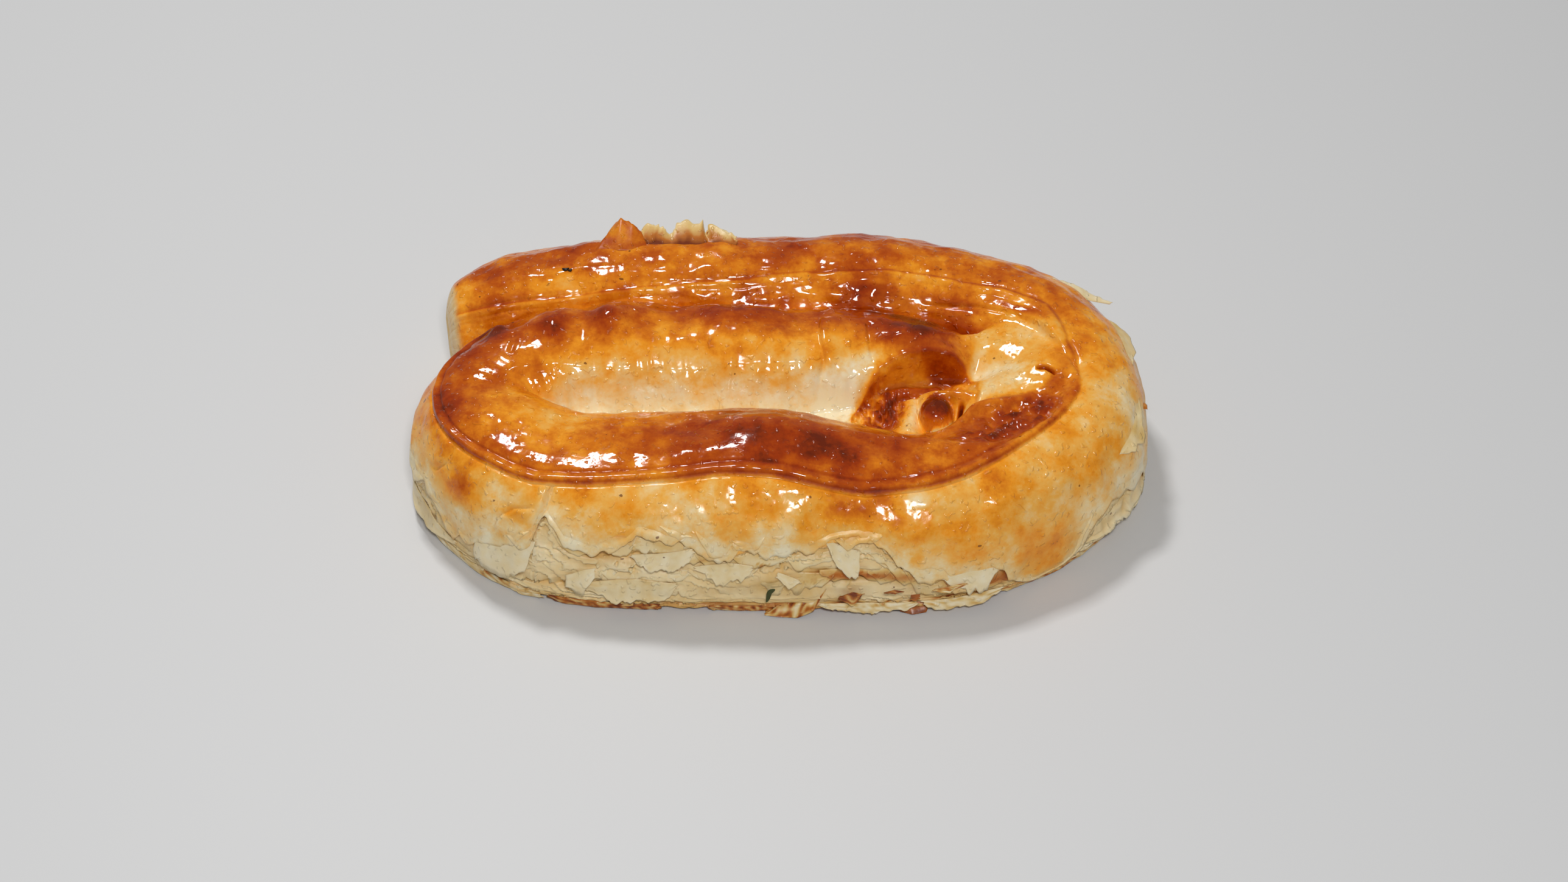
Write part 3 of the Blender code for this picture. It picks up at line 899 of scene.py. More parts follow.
class NodeKit:
    """Short ways to make a material's nodes."""

    scatter_radius: tuple[float, float, float] = (1.0, 0.55, 0.25)
    scatter_depth: float = 0.002
    refraction: float = 1.46
    shine: float = 0.42

    def __init__(self, name: str) -> None:
        """Starts an empty material.

        Args:
            name: The material's name.
        """
        self.material = bpy.data.materials.new(name)
        self.material.use_nodes = True
        self.tree = self.material.node_tree
        self.shader = self.tree.nodes["Principled BSDF"]

    def add(self, kind: str, **values: object) -> bpy.types.Node:
        """Adds a node and sets its properties.

        Args:
            kind: The node's type.
            values: Properties to set.

        Returns:
            The node.
        """
        node = self.tree.nodes.new(kind)
        for name, value in values.items():
            setattr(node, name, value)
        return node

    def join(self, source: object, target: bpy.types.NodeSocket) -> None:
        """Links a socket to another, or sets its value."""
        if isinstance(source, bpy.types.NodeSocket):
            self.tree.links.new(source, target)
        else:
            target.default_value = source

    def attribute(self, name: str) -> bpy.types.NodeSocket:
        """A value stored on the piece's points."""
        return self.add("ShaderNodeAttribute", attribute_name=name).outputs["Fac"]

    def object_place(self) -> bpy.types.NodeSocket:
        """Object coordinates."""
        return self.add("ShaderNodeTexCoord").outputs["Object"]

    def noise(self, place: object, scale: float, detail: float, roughness: float) -> bpy.types.NodeSocket:
        """Noise, 0 to 1.

        Args:
            place: Coordinates.
            scale: Cells in each metre.
            detail: Number of finer layers.
            roughness: Strength of the finer layers.

        Returns:
            The noise value's socket.
        """
        node = self.add("ShaderNodeTexNoise")
        self.join(place, node.inputs["Vector"])
        for name, value in (("Scale", scale), ("Detail", detail), ("Roughness", roughness)):
            node.inputs[name].default_value = value
        return node.outputs["Fac"]

    def math(
        self, operation: str, first: object, second: object, clamp: bool = False
    ) -> bpy.types.NodeSocket:
        """One sum.

        Args:
            operation: Name of the sum.
            first: First value.
            second: Second value.
            clamp: Whether the result is kept between 0 and 1.

        Returns:
            The result's socket.
        """
        node = self.add("ShaderNodeMath", operation=operation, use_clamp=clamp)
        self.join(first, node.inputs[0])
        self.join(second, node.inputs[1])
        return node.outputs[0]

    def centred(self, value: object, amount: float) -> bpy.types.NodeSocket:
        """Noise moved to lie round zero, with the given strength."""
        return self.math("MULTIPLY", self.math("SUBTRACT", value, 0.5), 2 * amount)

    def scaled(self, value: object, amount: float) -> bpy.types.NodeSocket:
        """A value made weaker or stronger."""
        return self.math("MULTIPLY", value, amount)

    def mix_values(self, *values: object) -> bpy.types.NodeSocket:
        """Adds values and keeps the sum between 0 and 1."""
        total = values[0]
        for value in values[1:]:
            total = self.math("ADD", total, value, clamp=True)
        return total

    def contrast(self, value: object, low: float, high: float) -> bpy.types.NodeSocket:
        """Stretches a stretch of values to 0 to 1.

        Args:
            value: The value.
            low: What becomes 0.
            high: What becomes 1.

        Returns:
            The stretched value's socket.
        """
        node = self.add("ShaderNodeMapRange", interpolation_type="SMOOTHSTEP")
        self.join(value, node.inputs["Value"])
        node.inputs["From Min"].default_value = low
        node.inputs["From Max"].default_value = high
        return node.outputs["Result"]

    def between(self, value: object, low: float, high: float) -> bpy.types.NodeSocket:
        """Turns 0 to 1 into low to high.

        Args:
            value: The value.
            low: Result at 0.
            high: Result at 1.

        Returns:
            The result's socket.
        """
        node = self.add("ShaderNodeMapRange")
        self.join(value, node.inputs["Value"])
        node.inputs["To Min"].default_value = low
        node.inputs["To Max"].default_value = high
        return node.outputs["Result"]

    def ramp(self, value: object, steps: tuple[ColourStep, ...]) -> bpy.types.NodeSocket:
        """Colours along a scale.

        Args:
            value: Place on the scale.
            steps: The scale's colours.

        Returns:
            The colour's socket.
        """
        node = self.add("ShaderNodeValToRGB")
        elements = node.color_ramp.elements
        while len(elements) < len(steps):
            elements.new(1.0)
        for element, step in zip(elements, steps):
            element.position, element.color = step.place, step.colour
        self.join(value, node.inputs["Fac"])
        return node.outputs["Color"]

    def blend(self, share: object, first: object, second: object) -> bpy.types.NodeSocket:
        """Mixes two colours.

        Args:
            share: 0 for the first, 1 for the second.
            first: First colour.
            second: Second colour.

        Returns:
            The colour's socket.
        """
        node = self.add("ShaderNodeMix", data_type="RGBA")
        self.join(share, node.inputs["Factor"])
        self.join(first, node.inputs[6])
        self.join(second, node.inputs[7])
        return node.outputs[2]

    def bump(
        self, height: object, strength: float, depth: float, under: object = None
    ) -> bpy.types.NodeSocket:
        """Fine relief.

        Args:
            height: Height pattern.
            strength: Strength of the relief.
            depth: Its depth in metres.
            under: Relief that it lies on.

        Returns:
            The normal's socket.
        """
        node = self.add("ShaderNodeBump")
        node.inputs["Strength"].default_value = strength
        node.inputs["Distance"].default_value = depth
        self.join(height, node.inputs["Height"])
        if under is not None:
            self.join(under, node.inputs["Normal"])
        return node.outputs["Normal"]

    def surface(self, colour: object, rough: object, normal: object, subsurface: float = 0.0) -> None:
        """Joins the patterns to the shader.

        Args:
            colour: Base colour.
            rough: Roughness.
            normal: Fine relief.
            subsurface: Share of light that passes through the dough.
        """
        self.join(colour, self.shader.inputs["Base Color"])
        self.join(rough, self.shader.inputs["Roughness"])
        if normal is not None:
            self.join(normal, self.shader.inputs["Normal"])
        for name, value in (
            ("Subsurface Weight", subsurface), ("Subsurface Radius", self.scatter_radius),
            ("Subsurface Scale", self.scatter_depth), ("IOR", self.refraction),
            ("Specular IOR Level", self.shine),
        ):
            self.shader.inputs[name].default_value = value


def grid_mesh(across: int, along: int) -> bmesh.types.BMesh:
    """A flat grid with its corners at 0 and 1.

    Args:
        across: Faces along X.
        along: Faces along Y.

    Returns:
        The grid as a bmesh.
    """
    shape = bmesh.new()
    bmesh.ops.create_grid(shape, x_segments=across, y_segments=along, size=0.5)
    bmesh.ops.translate(shape, verts=shape.verts, vec=(0.5, 0.5, 0))
    return shape


def as_mesh(shape: bmesh.types.BMesh, name: str) -> bpy.types.Mesh:
    """Turns a bmesh, which is freed, into a mesh.

    Args:
        shape: The bmesh.
        name: The mesh's name.

    Returns:
        The mesh.
    """
    mesh = bpy.data.meshes.new(name)
    shape.to_mesh(mesh)
    shape.free()
    return mesh


def read_points(mesh: bpy.types.Mesh) -> Array:
    """The mesh's points, one row each."""
    flat = np.empty(len(mesh.vertices) * 3)
    mesh.vertices.foreach_get("co", flat)
    return flat.reshape(-1, 3)


def placed(points: Array) -> Array:
    """Moves points to the middle of the base, softly inside the measured box, and turns them into metres.

    Args:
        points: Points in millimetres from the coil's measuring point.

    Returns:
        Points in metres from the middle of the base.
    """
    moved = points + CENTRING
    for axis in (0, 1):
        room = CAD_BOX[1][axis] / MM - SIDE_GAP - SOFT_EDGE
        over = np.clip(np.abs(moved[:, axis]) - room, 0, None)
        kept = np.minimum(np.abs(moved[:, axis]), room) + SOFT_EDGE * np.tanh(over / SOFT_EDGE)
        moved[:, axis] = np.sign(moved[:, axis]) * kept
    moved[:, 2] = np.clip(moved[:, 2], FLOOR_GAP, CAD_BOX[1][2] / MM - TOP_GAP)
    return moved * MM


def write_points(mesh: bpy.types.Mesh, points: Array) -> None:
    """Moves the mesh's points, given in millimetres from the coil's measuring point."""
    mesh.vertices.foreach_set("co", placed(points).ravel())


def store(mesh: bpy.types.Mesh, **values: Array) -> None:
    """Stores values on the mesh's points for its material."""
    for name, value in values.items():
        layer = mesh.attributes.new(name, "FLOAT", "POINT")
        layer.data.foreach_set("value", np.asarray(value, dtype=np.float32))


def show(piece: Piece, mesh: bpy.types.Mesh, material: bpy.types.Material) -> bpy.types.Object:
    """Adds a finished mesh to the scene as a piece of the pastry.

    Args:
        piece: The piece's name.
        mesh: Its mesh.
        material: Its finish.

    Returns:
        The new object.
    """
    mesh.name = piece.value
    mesh.materials.append(material)
    mesh.shade_smooth()
    body = bpy.data.objects.new(piece.value, mesh)
    bpy.context.scene.collection.objects.link(body)
    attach(body, "root")
    mesh.calc_loop_triangles()
    log.info("%s: %d triangles", piece.value, len(mesh.loop_triangles))
    return body


@dataclass(frozen=True)
class Stretch:
    """One stretch of the roll that is one mesh, and how its points spread round the section."""

    piece: Piece
    start: float
    end: float
    rings: int
    around: int
    knots: tuple[tuple[float, float, bool], ...]

    def angles(self, share: Array, seam: Array) -> Array:
        """Spreads the points round the section, densely beside the seam.

        Args:
            share: 0 to 1 once round.
            seam: Angle of the seam at each point.

        Returns:
            Angles in degrees, from below the roll once round it.
        """
        degrees = np.zeros(len(share))
        for (low, first, from_seam), (high, last, to_seam) in zip(self.knots, self.knots[1:]):
            inside = (share >= low) & (share <= high)
            start = first + seam * from_seam
            end = last + seam * to_seam
            part = (share - low) / (high - low)
            degrees = np.where(inside, start + (end - start) * part, degrees)
        return degrees


# spread of the points round the section: share of the way round, degrees, and whether those start at the seam
BACK_KNOTS = (
    (0.0, -90.0, False), (0.03, -44.0, False), (0.44, -8.0, True), (0.66, 13.0, True), (0.93, 172.0, False),
    (1.0, 270.0, False),
)
FRONT_KNOTS = (
    (0.0, -90.0, False), (0.02, -44.0, False), (0.52, -7.0, True), (0.68, 12.0, True), (0.94, 172.0, False),
    (1.0, 270.0, False),
)
INNER_KNOTS = ((0.0, -90.0, False), (0.04, 12.0, False), (0.94, 212.0, False), (1.0, 270.0, False))
STRETCHES = (
    Stretch(Piece.BACK, 0.0, 178.0, 420, 220, BACK_KNOTS),
    Stretch(Piece.BEND, 174.0, 272.0, 330, 290, FRONT_KNOTS),
    Stretch(Piece.FRONT, 268.0, 368.0, 330, 290, FRONT_KNOTS),
    Stretch(Piece.INNER, 364.0, 999.0, 400, 220, INNER_KNOTS),
)


@dataclass
class RollSkin:
    """The swept skin of the roll, in stretches that run into each other."""

    relief: DoughRelief
    browning_and_shade: BrowningAndShade
    join: float = 4.0
    join_slope: float = 0.04

    def build(self, stretch: Stretch) -> bpy.types.Mesh:
        """Makes one stretch's mesh with its attributes.

        Args:
            stretch: The stretch of the roll.

        Returns:
            The closed mesh.
        """
        mesh = as_mesh(grid_mesh(stretch.rings, stretch.around), stretch.piece.value)
        flat = read_points(mesh)
        length = self.relief.route.length
        end = min(stretch.end, length)
        run = stretch.start + (end - stretch.start) * flat[:, 0]
        seam = self.relief.route.at(run)[:, 5]
        degrees = stretch.angles(flat[:, 1], seam)
        points, skin, relief = self.relief.displaced(run, degrees)
        torn = self.relief.torn_amount(run, degrees)
        tone = self.browning_and_shade.read(points, run, degrees, seam, relief)
        tone = mix(tone, self.browning_and_shade.bare(self.relief, run, degrees), torn)
        gloss = self.gloss_of(points, run, degrees, torn, tone)
        sink = np.zeros(len(run))
        if stretch.start > 0:
            sink += np.clip(self.join / 2 - (run - stretch.start), 0, None)
        if end < length:
            sink += np.clip(self.join / 2 - (end - run), 0, None)
        points -= skin * (sink * self.join_slope)[:, None]
        write_points(mesh, points)
        store(mesh, tone=tone, torn=torn, gloss=gloss)
        shape = bmesh.new()
        shape.from_mesh(mesh)
        bmesh.ops.remove_doubles(shape, verts=shape.verts, dist=SAME_POINT)
        bmesh.ops.holes_fill(shape, edges=[edge for edge in shape.edges if edge.is_boundary], sides=0)
        bmesh.ops.recalc_face_normals(shape, faces=shape.faces)
        shape.to_mesh(mesh)
        shape.free()
        return mesh

    def gloss_of(self, points: Array, run: Array, degrees: Array, torn: Array, tone: Array) -> Array:
        """How shiny each point is.

        Args:
            points: Points of the finished skin.
            run: Distance along the roll.
            degrees: Angle round the section.
            torn: How far torn open.
            tone: How far baked.

        Returns:
            0 for matt, 1 for glossy.
        """
        washed = rise(degrees, 34 + 8 * line_noise(run, 20.0, 8), 5)
        patchy = 0.92 + 0.2 * GRAIN.layers(points, 9.0, 2)
        baked = 0.75 + 0.35 * np.clip(tone, 0, 0.7)
        return np.clip((0.3 + 0.7 * washed) * patchy * baked, 0, 1) * (1 - 0.45 * torn)


@dataclass(frozen=True)
class Level:
    """An oval seen from above that pulls the dough to a given height and tone."""

    x: float
    y: float
    half_length: float
    half_width: float
    turn: float
    height: float
    edge: float = 0.2
    slope: float = 0.0
    tone: float | None = None
    tone_share: float = 1.0

    def weight(self, points: Array) -> Array:
        """Strength of the pull, 1 well inside the oval."""
        return rise(1.0, self.radial(points), self.edge / 3)

    def radial(self, points: Array) -> Array:
        """Distance from the oval's middle, 1 on its outline."""
        along, across = self.offsets(points)
        return np.hypot(along / self.half_length, across / self.half_width)

    def offsets(self, points: Array) -> tuple[Array, Array]:
        """Distances along and across the oval."""
        return oval_axes(points, self.x, self.y, self.turn)

    def read(self, points: Array) -> tuple[Array, Array]:
        """Strength of the pull, and the height that it pulls to, which slopes along its length."""
        return self.weight(points), self.height + self.slope * self.offsets(points)[0]


@dataclass(frozen=True)
class Band:
    """A bent band seen from above that pulls the dough to the heights of its corners."""

    path: tuple[tuple[float, float, float], ...]
    left: float
    right: float
    left_edge: float = 0.6
    right_edge: float = 0.3
    crown: float = 0.0
    tone: float | None = None
    tone_share: float = 1.0

    def smooth_path(self) -> Array:
        """The path's corners, rounded off."""
        corners = np.array(self.path, float)
        place = np.arange(len(corners))
        fine = np.linspace(0, len(corners) - 1, 6 * len(corners))
        knots = np.vstack([2 * corners[0] - corners[1], corners, 2 * corners[-1] - corners[-2]])
        index = np.minimum(fine.astype(int), len(corners) - 2)
        t = (fine - place[index])[:, None]
        p0, p1, p2, p3 = (knots[index + k] for k in range(4))
        bend, twist = 2 * p0 - 5 * p1 + 4 * p2 - p3, 3 * p1 - p0 - 3 * p2 + p3
        return 0.5 * (2 * p1 + (p2 - p0) * t + bend * t ** 2 + twist * t ** 3)

    def read(self, points: Array) -> tuple[Array, Array]:
        """Strength of the pull and the height that it pulls to.

        Args:
            points: Points, one row each.

        Returns:
            Weights and heights.
        """
        line = self.smooth_path()
        distance, share = path_distance(points, tuple(map(tuple, line[:, :2])))
        runs = np.r_[0, np.cumsum(np.linalg.norm(np.diff(line[:, :2], axis=0), axis=1))]
        height = np.interp(share * runs[-1], runs, line[:, 2])
        ends = rise(share, 0.03, 0.01) * rise(-share, -0.97, 0.01)
        sides = rise(self.left, distance, self.left_edge) * rise(distance, -self.right, self.right_edge)
        return sides * ends, height + self.crown * hill(distance, 0, (self.left + self.right) / 3)


# the grids of the bed and the filling
BED_X = (-78.0, 77.0)
BED_Y = (-33.0, 16.0)
FILLING_X = (14.0, 36.0)
FILLING_Y = (-20.0, -2.0)
# the bed's middle line, and how far it reaches to the back and to the front of that
BED_LINE = (
    (-66.0, -8.0), (-40.0, -9.0), (0.0, -9.5), (22.0, -9.0), (45.0, -10.5), (60.0, -7.5), (73.0, -9.0),
)
BED_PLACES = (-74, -68, -55, -20, 8, 18, 30, 42, 50, 58, 65, 70, 75)
BED_UP = (1, 3.5, 5.5, 6.5, 8.0, 12.0, 14.5, 18.0, 23.0, 24.0, 20.5, 14.0, 3.0)
BED_DOWN = (1, 3.5, 5.5, 6.5, 8.0, 13.0, 16.5, 20.0, 21.5, 21.5, 16.0, 11.0, 2.0)


def bed_mask(points: Array) -> Array:
    """Where the inner bed covers the roll: 1 well inside the middle of the coil and 0 outside it."""
    distance, _ = path_distance(points, BED_LINE)
    up = np.interp(points[:, 0], BED_PLACES, BED_UP)
    down = np.interp(points[:, 0], BED_PLACES, BED_DOWN)
    return rise(up, distance, 0.8) * rise(distance, -down, 0.8)


@dataclass
class Cover:
    """A surface to look down on, with the baked tone of each of its faces."""

    tree: BVHTree
    tones: Array

    @classmethod
    def of(cls, mesh: bpy.types.Mesh) -> "Cover":
        """Reads a mesh.

        Args:
            mesh: A mesh whose points have a tone.

        Returns:
            Its search tree and tones.
        """
        corners = [face.vertices[:] for face in mesh.polygons]
        tones = np.empty(len(mesh.vertices), dtype=np.float32)
        mesh.attributes["tone"].data.foreach_get("value", tones)
        tree = BVHTree.FromPolygons([v.co for v in mesh.vertices], corners)
        return cls(tree, tones[[corner[0] for corner in corners]])


def look_down(points: Array, covers: list[Cover], low: float) -> tuple[Array, Array]:
    """Height and tone of the highest surface over each place.

    Args:
        points: Places in millimetres from the coil's measuring point, of which X and Y are used.
        covers: The surfaces.
        low: Height where there is none.

    Returns:
        Heights in millimetres from the coil's measuring point, and tones.
    """
    down = Vector((0, 0, -1))
    heights = np.full(len(points), low)
    tones = np.zeros(len(points))
    for number, (x, y) in enumerate((points[:, :2] + CENTRING[:2]) * MM):
        for cover in covers:
            hit, _, face, _ = cover.tree.ray_cast(Vector((x, y, LOOK_FROM)), down)
            if hit is not None and hit.z / MM - CENTRING[2] > heights[number]:
                heights[number] = hit.z / MM - CENTRING[2]
                tones[number] = cover.tones[face]
    return heights, tones


@dataclass
class InnerBed:
    """The dough in the middle of the coil: trough, open fold with its knob, lip and wrinkled pocket.

    The shapes pull the dough to their heights in this order: two ovals of stretched skin beside the fold,
    the pale dip behind the lip, the blister at its end, the slot painted dark as shade, two folds, a pale
    veil and the lip.
    """

    relief: DoughRelief
    across: int = 560
    along: int = 170
    floor_height: float = 23.0
    hem: float = 7.0
    dip: float = 0.5
    shapes: tuple[Level | Band, ...] = (
        Level(55.0, 7.0, 12.0, 7.5, -14.0, 32.8, 0.9, 0.03, 0.36, 0.85),
        Level(64.0, 8.5, 8.0, 5.5, -34.0, 33.4, 0.9, 0.03, 0.22, 0.85),
        Level(58.0, -6.0, 12.0, 5.6, 10.0, 31.9, 0.8, 0.03, 0.18),
        Level(68.5, -3.0, 7.4, 5.8, -4.0, 35.0, 0.9, 0.0, 0.46, 0.9),
        # the slot: sunk and painted near black, painted shade in the gap under the rim
        Level(42.0, -1.4, 4.6, 1.5, -10.0, 26.4, 0.5, 0.0, 0.98),
        Band(((24.0, -8.0, 25.8), (28.0, -5.6, 27.0), (32.0, -5.0, 27.6), (36.0, -5.2, 27.6),
              (41.0, -5.0, 27.4)), 1.5, 2.0, 0.6, 0.7, crown=0.4, tone=0.82),
        Band(((34.4, -9.0, 29.0), (38.0, -8.8, 29.8), (42.5, -9.2, 30.3), (47.0, -9.8, 30.9),
              (50.0, -10.8, 31.4)), 1.7, 3.2, 0.25, 0.9, crown=0.3, tone=0.52),
        Band(((33.0, -7.0, 26.4), (33.0, -11.0, 26.6), (32.6, -15.0, 26.4), (32.0, -20.0, 26.4)),
             2.6, 3.0, 0.9, 1.0, crown=0.5, tone=0.10),
        Band(((35.0, -26.0, 29.6), (39.0, -24.6, 30.2), (43.0, -22.0, 30.8), (46.2, -18.6, 31.3),
              (48.4, -15.7, 31.6), (52.0, -14.3, 32.0), (56.0, -13.9, 32.2), (60.4, -13.6, 32.6),
              (65.0, -12.3, 33.1), (69.0, -8.6, 33.3), (71.5, -5.0, 33.6)),
             1.7, 2.2, 0.22, 0.9, crown=0.7, tone=0.60),
    )
    bowl: Level = Level(33.6, -9.8, 17.2, 9.8, 20.0, 25.0)
    bowl_wall: float = 0.40
    rim: tuple[tuple[float, float], ...] = (
        (16.8, -15.4), (18.6, -11.3), (22.0, -5.8), (25.4, -2.6), (30.9, -0.3), (35.4, 0.5), (39.8, 0.6),
        (44.2, -0.1), (47.5, -1.6), (49.6, -4.7), (49.4, -7.6),
    )
    knob: tuple[float, float, float] = (38.9, -13.6, 26.6)
    knob_size: tuple[float, float, float] = (4.3, 4.9, 4.6)
    slits: tuple[tuple[tuple[float, float], ...], ...] = (
        ((44.4, -16.0), (44.8, -14.2), (45.6, -11.6)),
        ((64.0, -3.9), (66.5, -4.2), (69.0, -6.3)),
    )
    filling: Level = Level(24.8, -10.8, 6.8, 5.6, 30.0, 0.0, 0.5)
    stains: tuple[Spot, ...] = (
        Spot(13.5, -8.0, 5.0, 8.0, 10.0, -0.30),
        Spot(17.5, -13.0, 2.6, 4.0, 30.0, -0.20),
        Spot(22.0, 0.0, 2.0, 6.0, -50.0, -0.25),
        Spot(56.0, -1.5, 8.0, 2.0, -12.0, -0.16),
        Spot(73.0, 2.0, 3.0, 2.4, 0.0, 0.16),
    )
    pleated: Level = Level(62.0, 3.0, 15.0, 12.0, 0.0, 0.0, 0.8)
    pocket: Level = Level(56.5, -21.8, 14.5, 5.2, 32.0, 0.0, 0.45)

    def build(self, covers: list[Cover]) -> bpy.types.Mesh:
        """Lays the bed over the roll.

        Args:
            covers: Surfaces of the roll's stretches.

        Returns:
            The bed's mesh with its attributes.
        """
        points, mesh = self.lay_grid(Piece.BED, BED_X, BED_Y, self.across, self.along)
        mask = bed_mask(points)
        inside = mask > 0.015
        baked = np.zeros(len(points))
        points[inside, 2], baked[inside] = look_down(points[inside], covers, BED_LOW)
        heights, tone, gloss = self.sculpt(points, baked, np.clip(2.5 * mask - 1.4, 0, 1))
        points[:, 2] = heights - self.dip * np.clip(1 - 2 * mask, 0, 1)
        return self.finish_grid(mesh, points, inside, tone, gloss)

    def build_filling(self, covers: list[Cover]) -> bpy.types.Mesh:
        """Lays the bared filling into the fold.

        Args:
            covers: Surfaces of the roll's stretches.

        Returns:
            The filling's mesh with its attributes.
        """
        points, mesh = self.lay_grid(Piece.FILLING, FILLING_X, FILLING_Y, 220, 180)
        share = self.filling.weight(points)
        points[:, 2], baked = look_down(points, covers, BED_LOW)
        heights, tone, gloss = self.sculpt(points, baked, np.ones(len(points)))
        crumbs = 0.35 * GRAIN.read(points * (1, 1, 0), 1.3, 34)
        points[:, 2] = heights + (0.30 + crumbs) * share - 0.8 * rise(-share, -0.5, 0.06)
        return self.finish_grid(mesh, points, share > 0.3, tone + 0.4 * crumbs, gloss)

    @staticmethod
    def lay_grid(
        piece: Piece, x_range: tuple[float, float], y_range: tuple[float, float], across: int, along: int
    ) -> tuple[Array, bpy.types.Mesh]:
        """Makes a flat grid over part of the coil.

        Args:
            piece: The piece that it becomes.
            x_range: Where it starts and ends along the coil.
            y_range: Where it starts and ends across it.
            across: Faces along the coil.
            along: Faces across it.

        Returns:
            The grid's points and its mesh.
        """
        mesh = as_mesh(grid_mesh(across, along), piece.value)
        flat = read_points(mesh)
        (left, right), (near, far) = x_range, y_range
        x, y = left + (right - left) * flat[:, 0], near + (far - near) * flat[:, 1]
        return np.column_stack([x, y, np.full(len(flat), BED_LOW)]), mesh

    @staticmethod
    def finish_grid(
        mesh: bpy.types.Mesh, points: Array, inside: Array, tone: Array, gloss: Array
    ) -> bpy.types.Mesh:
        """Moves the grid's points, stores the looks and cuts off what lies outside.

        Args:
            mesh: The grid.
            points: Its new points.
            inside: Which points stay.
            tone: How far each is baked.
            gloss: How shiny each is.

        Returns:
            The mesh.
        """
        write_points(mesh, points)
        store(mesh, tone=np.clip(tone, 0, 1), torn=np.zeros(len(points)), gloss=np.clip(gloss, 0, 1))
        shape = bmesh.new()
        shape.from_mesh(mesh)
        shape.verts.ensure_lookup_table()
        bmesh.ops.delete(shape, geom=[shape.verts[int(i)] for i in np.flatnonzero(~inside)])
        bmesh.ops.recalc_face_normals(shape, faces=shape.faces)
        shape.to_mesh(mesh)
        shape.free()
        return mesh

    def sculpt(self, points: Array, baked: Array, inner: Array) -> tuple[Array, Array, Array]:
        """Shapes the trough, the fold and the pocket.

        Args:
            points: The bed's points on the roll's surface.
            baked: The roll's tone there.
            inner: 1 well inside the bed, and 0 near its border where it follows the roll.

        Returns:
            New heights, tone and gloss.
        """
        flat = points * (1, 1, 0)
        x, y, z = points.T
        floor = self.floor_height + 0.9 * GRAIN.layers(flat, 14.0)
        floor += 0.45 * GRAIN.read(flat, (3.0, 11.0, 1), 21)
        blend = np.clip(0.5 + (z - floor) / self.hem, 0, 1)
        z = mix(floor, z, blend) + self.hem / 2 * blend * (1 - blend)
        shallow = rise(z, 27.8 + 1.2 * GRAIN.read(flat, (6.0, 20.0, 1), 22), 0.9)
        pale = 0.03 + 0.05 * GRAIN.read(flat, (2.0, 9.0, 1), 33)
        tone = mix(np.minimum(baked, pale), baked, shallow)
        crinkle = GRAIN.read(flat, (1.5, 4.2, 1), 24) + 0.7 * GRAIN.read(flat, (0.9, 2.0, 1), 27)
        pleats = GRAIN.read(flat, (2.6, 12.0, 1), 31) + 0.6 * GRAIN.read(flat, (1.3, 6.0, 1), 32)
        z = z + 0.45 * pleats * self.pleated.weight(points)
        depth = np.clip((1 - self.bowl.radial(points)) / self.bowl_wall, 0, 1)
        sunk = np.sin(depth * math.pi / 2)
        z = mix(z, np.minimum(z, self.bowl.height), sunk)
        walled = rise(depth, 0.04, 0.015)
        # the bowl's wall gets an orange-brown tone that is painted darker with depth: painted shade in the
        # recess
        tone = mix(tone, 0.56 + 0.10 * depth, walled)
        for shape in self.shapes:
            weight, height = shape.read(points)
            z = mix(z, height, weight)
            if shape.tone is not None:
                tone = mix(tone, shape.tone, weight * shape.tone_share)
        filling = self.filling.weight(points)
        z = z + filling * (1.1 * crinkle - 0.2)
        tone = mix(tone, np.clip(0.80 + 0.34 * crinkle, 0, 1), filling)
        tone = tone + spots_at(self.stains, points)
        edge, _ = path_distance(points, self.rim)
        z = z + 0.55 * hill(edge, 0.5, 0.7)
        tone = tone + 0.16 * hill(edge, 0.6, 0.9) - 0.10 * hill(edge, -1.6, 1.2)
        z, tone = self.place_knob(x, y, z, tone)
        z, tone = self.wrinkle_pocket(points, z, tone)
        for path in self.slits:
            slit, share = path_distance(points, path)
            ends = fade_ends(share, 5)
            z -= 2.4 * hill(slit, 0, 0.5) * ends
            # the slits are painted darker as well as cut in: painted shade in the slits
            tone += 0.55 * hill(slit, 0, 0.55) * ends
        z = mix(points[:, 2], z, inner)
        z += inner * (0.05 * GRAIN.read(flat, 1.9, 25) + 0.20 * GRAIN.read(flat, 3.6, 26))
        tone = mix(baked, tone, inner)
        tone += inner * 0.05 * GRAIN.read(flat, 2.4, 28)
        gloss = np.full(len(points), 0.9) + 0.12 * GRAIN.read(flat, 5.0, 29)
        return z, np.clip(tone, 0, 1), gloss

    def place_knob(self, x: Array, y: Array, z: Array, tone: Array) -> tuple[Array, Array]:
        """Sets the round knob of dough into the fold.

        Args:
            x: Places along the coil.
            y: Places across it.
            z: Heights so far.
            tone: Tones so far.

        Returns:
            New heights and tones.
        """
        kx, ky, kz = self.knob
        wide, deep, high = self.knob_size
        radial = np.hypot((x - kx) / wide, (y - ky) / deep)
        ball = kz + high * np.sqrt(np.clip(1 - radial ** 2, 0, None))
        ring = rise(1.25, radial, 0.05) * rise(ky + 3.8, y, 0.5)
        z = mix(z, np.minimum(z, kz + 1.0), ring)
        on = radial < 1
        z = np.where(on, np.maximum(z, ball), z)
        top = rise(0.84, np.hypot((x - kx) / wide, (y - ky - 0.3) / deep), 0.06)
        tone = np.where(on, 0.60 + 0.38 * top, tone)
        crescent = hill(radial, 1.22, 0.16) * rise(x, kx + 1.0, 0.8) * rise(-y, -(ky + 1.5), 1.0)
        return z + 0.9 * crescent, mix(tone, 0.18, crescent)

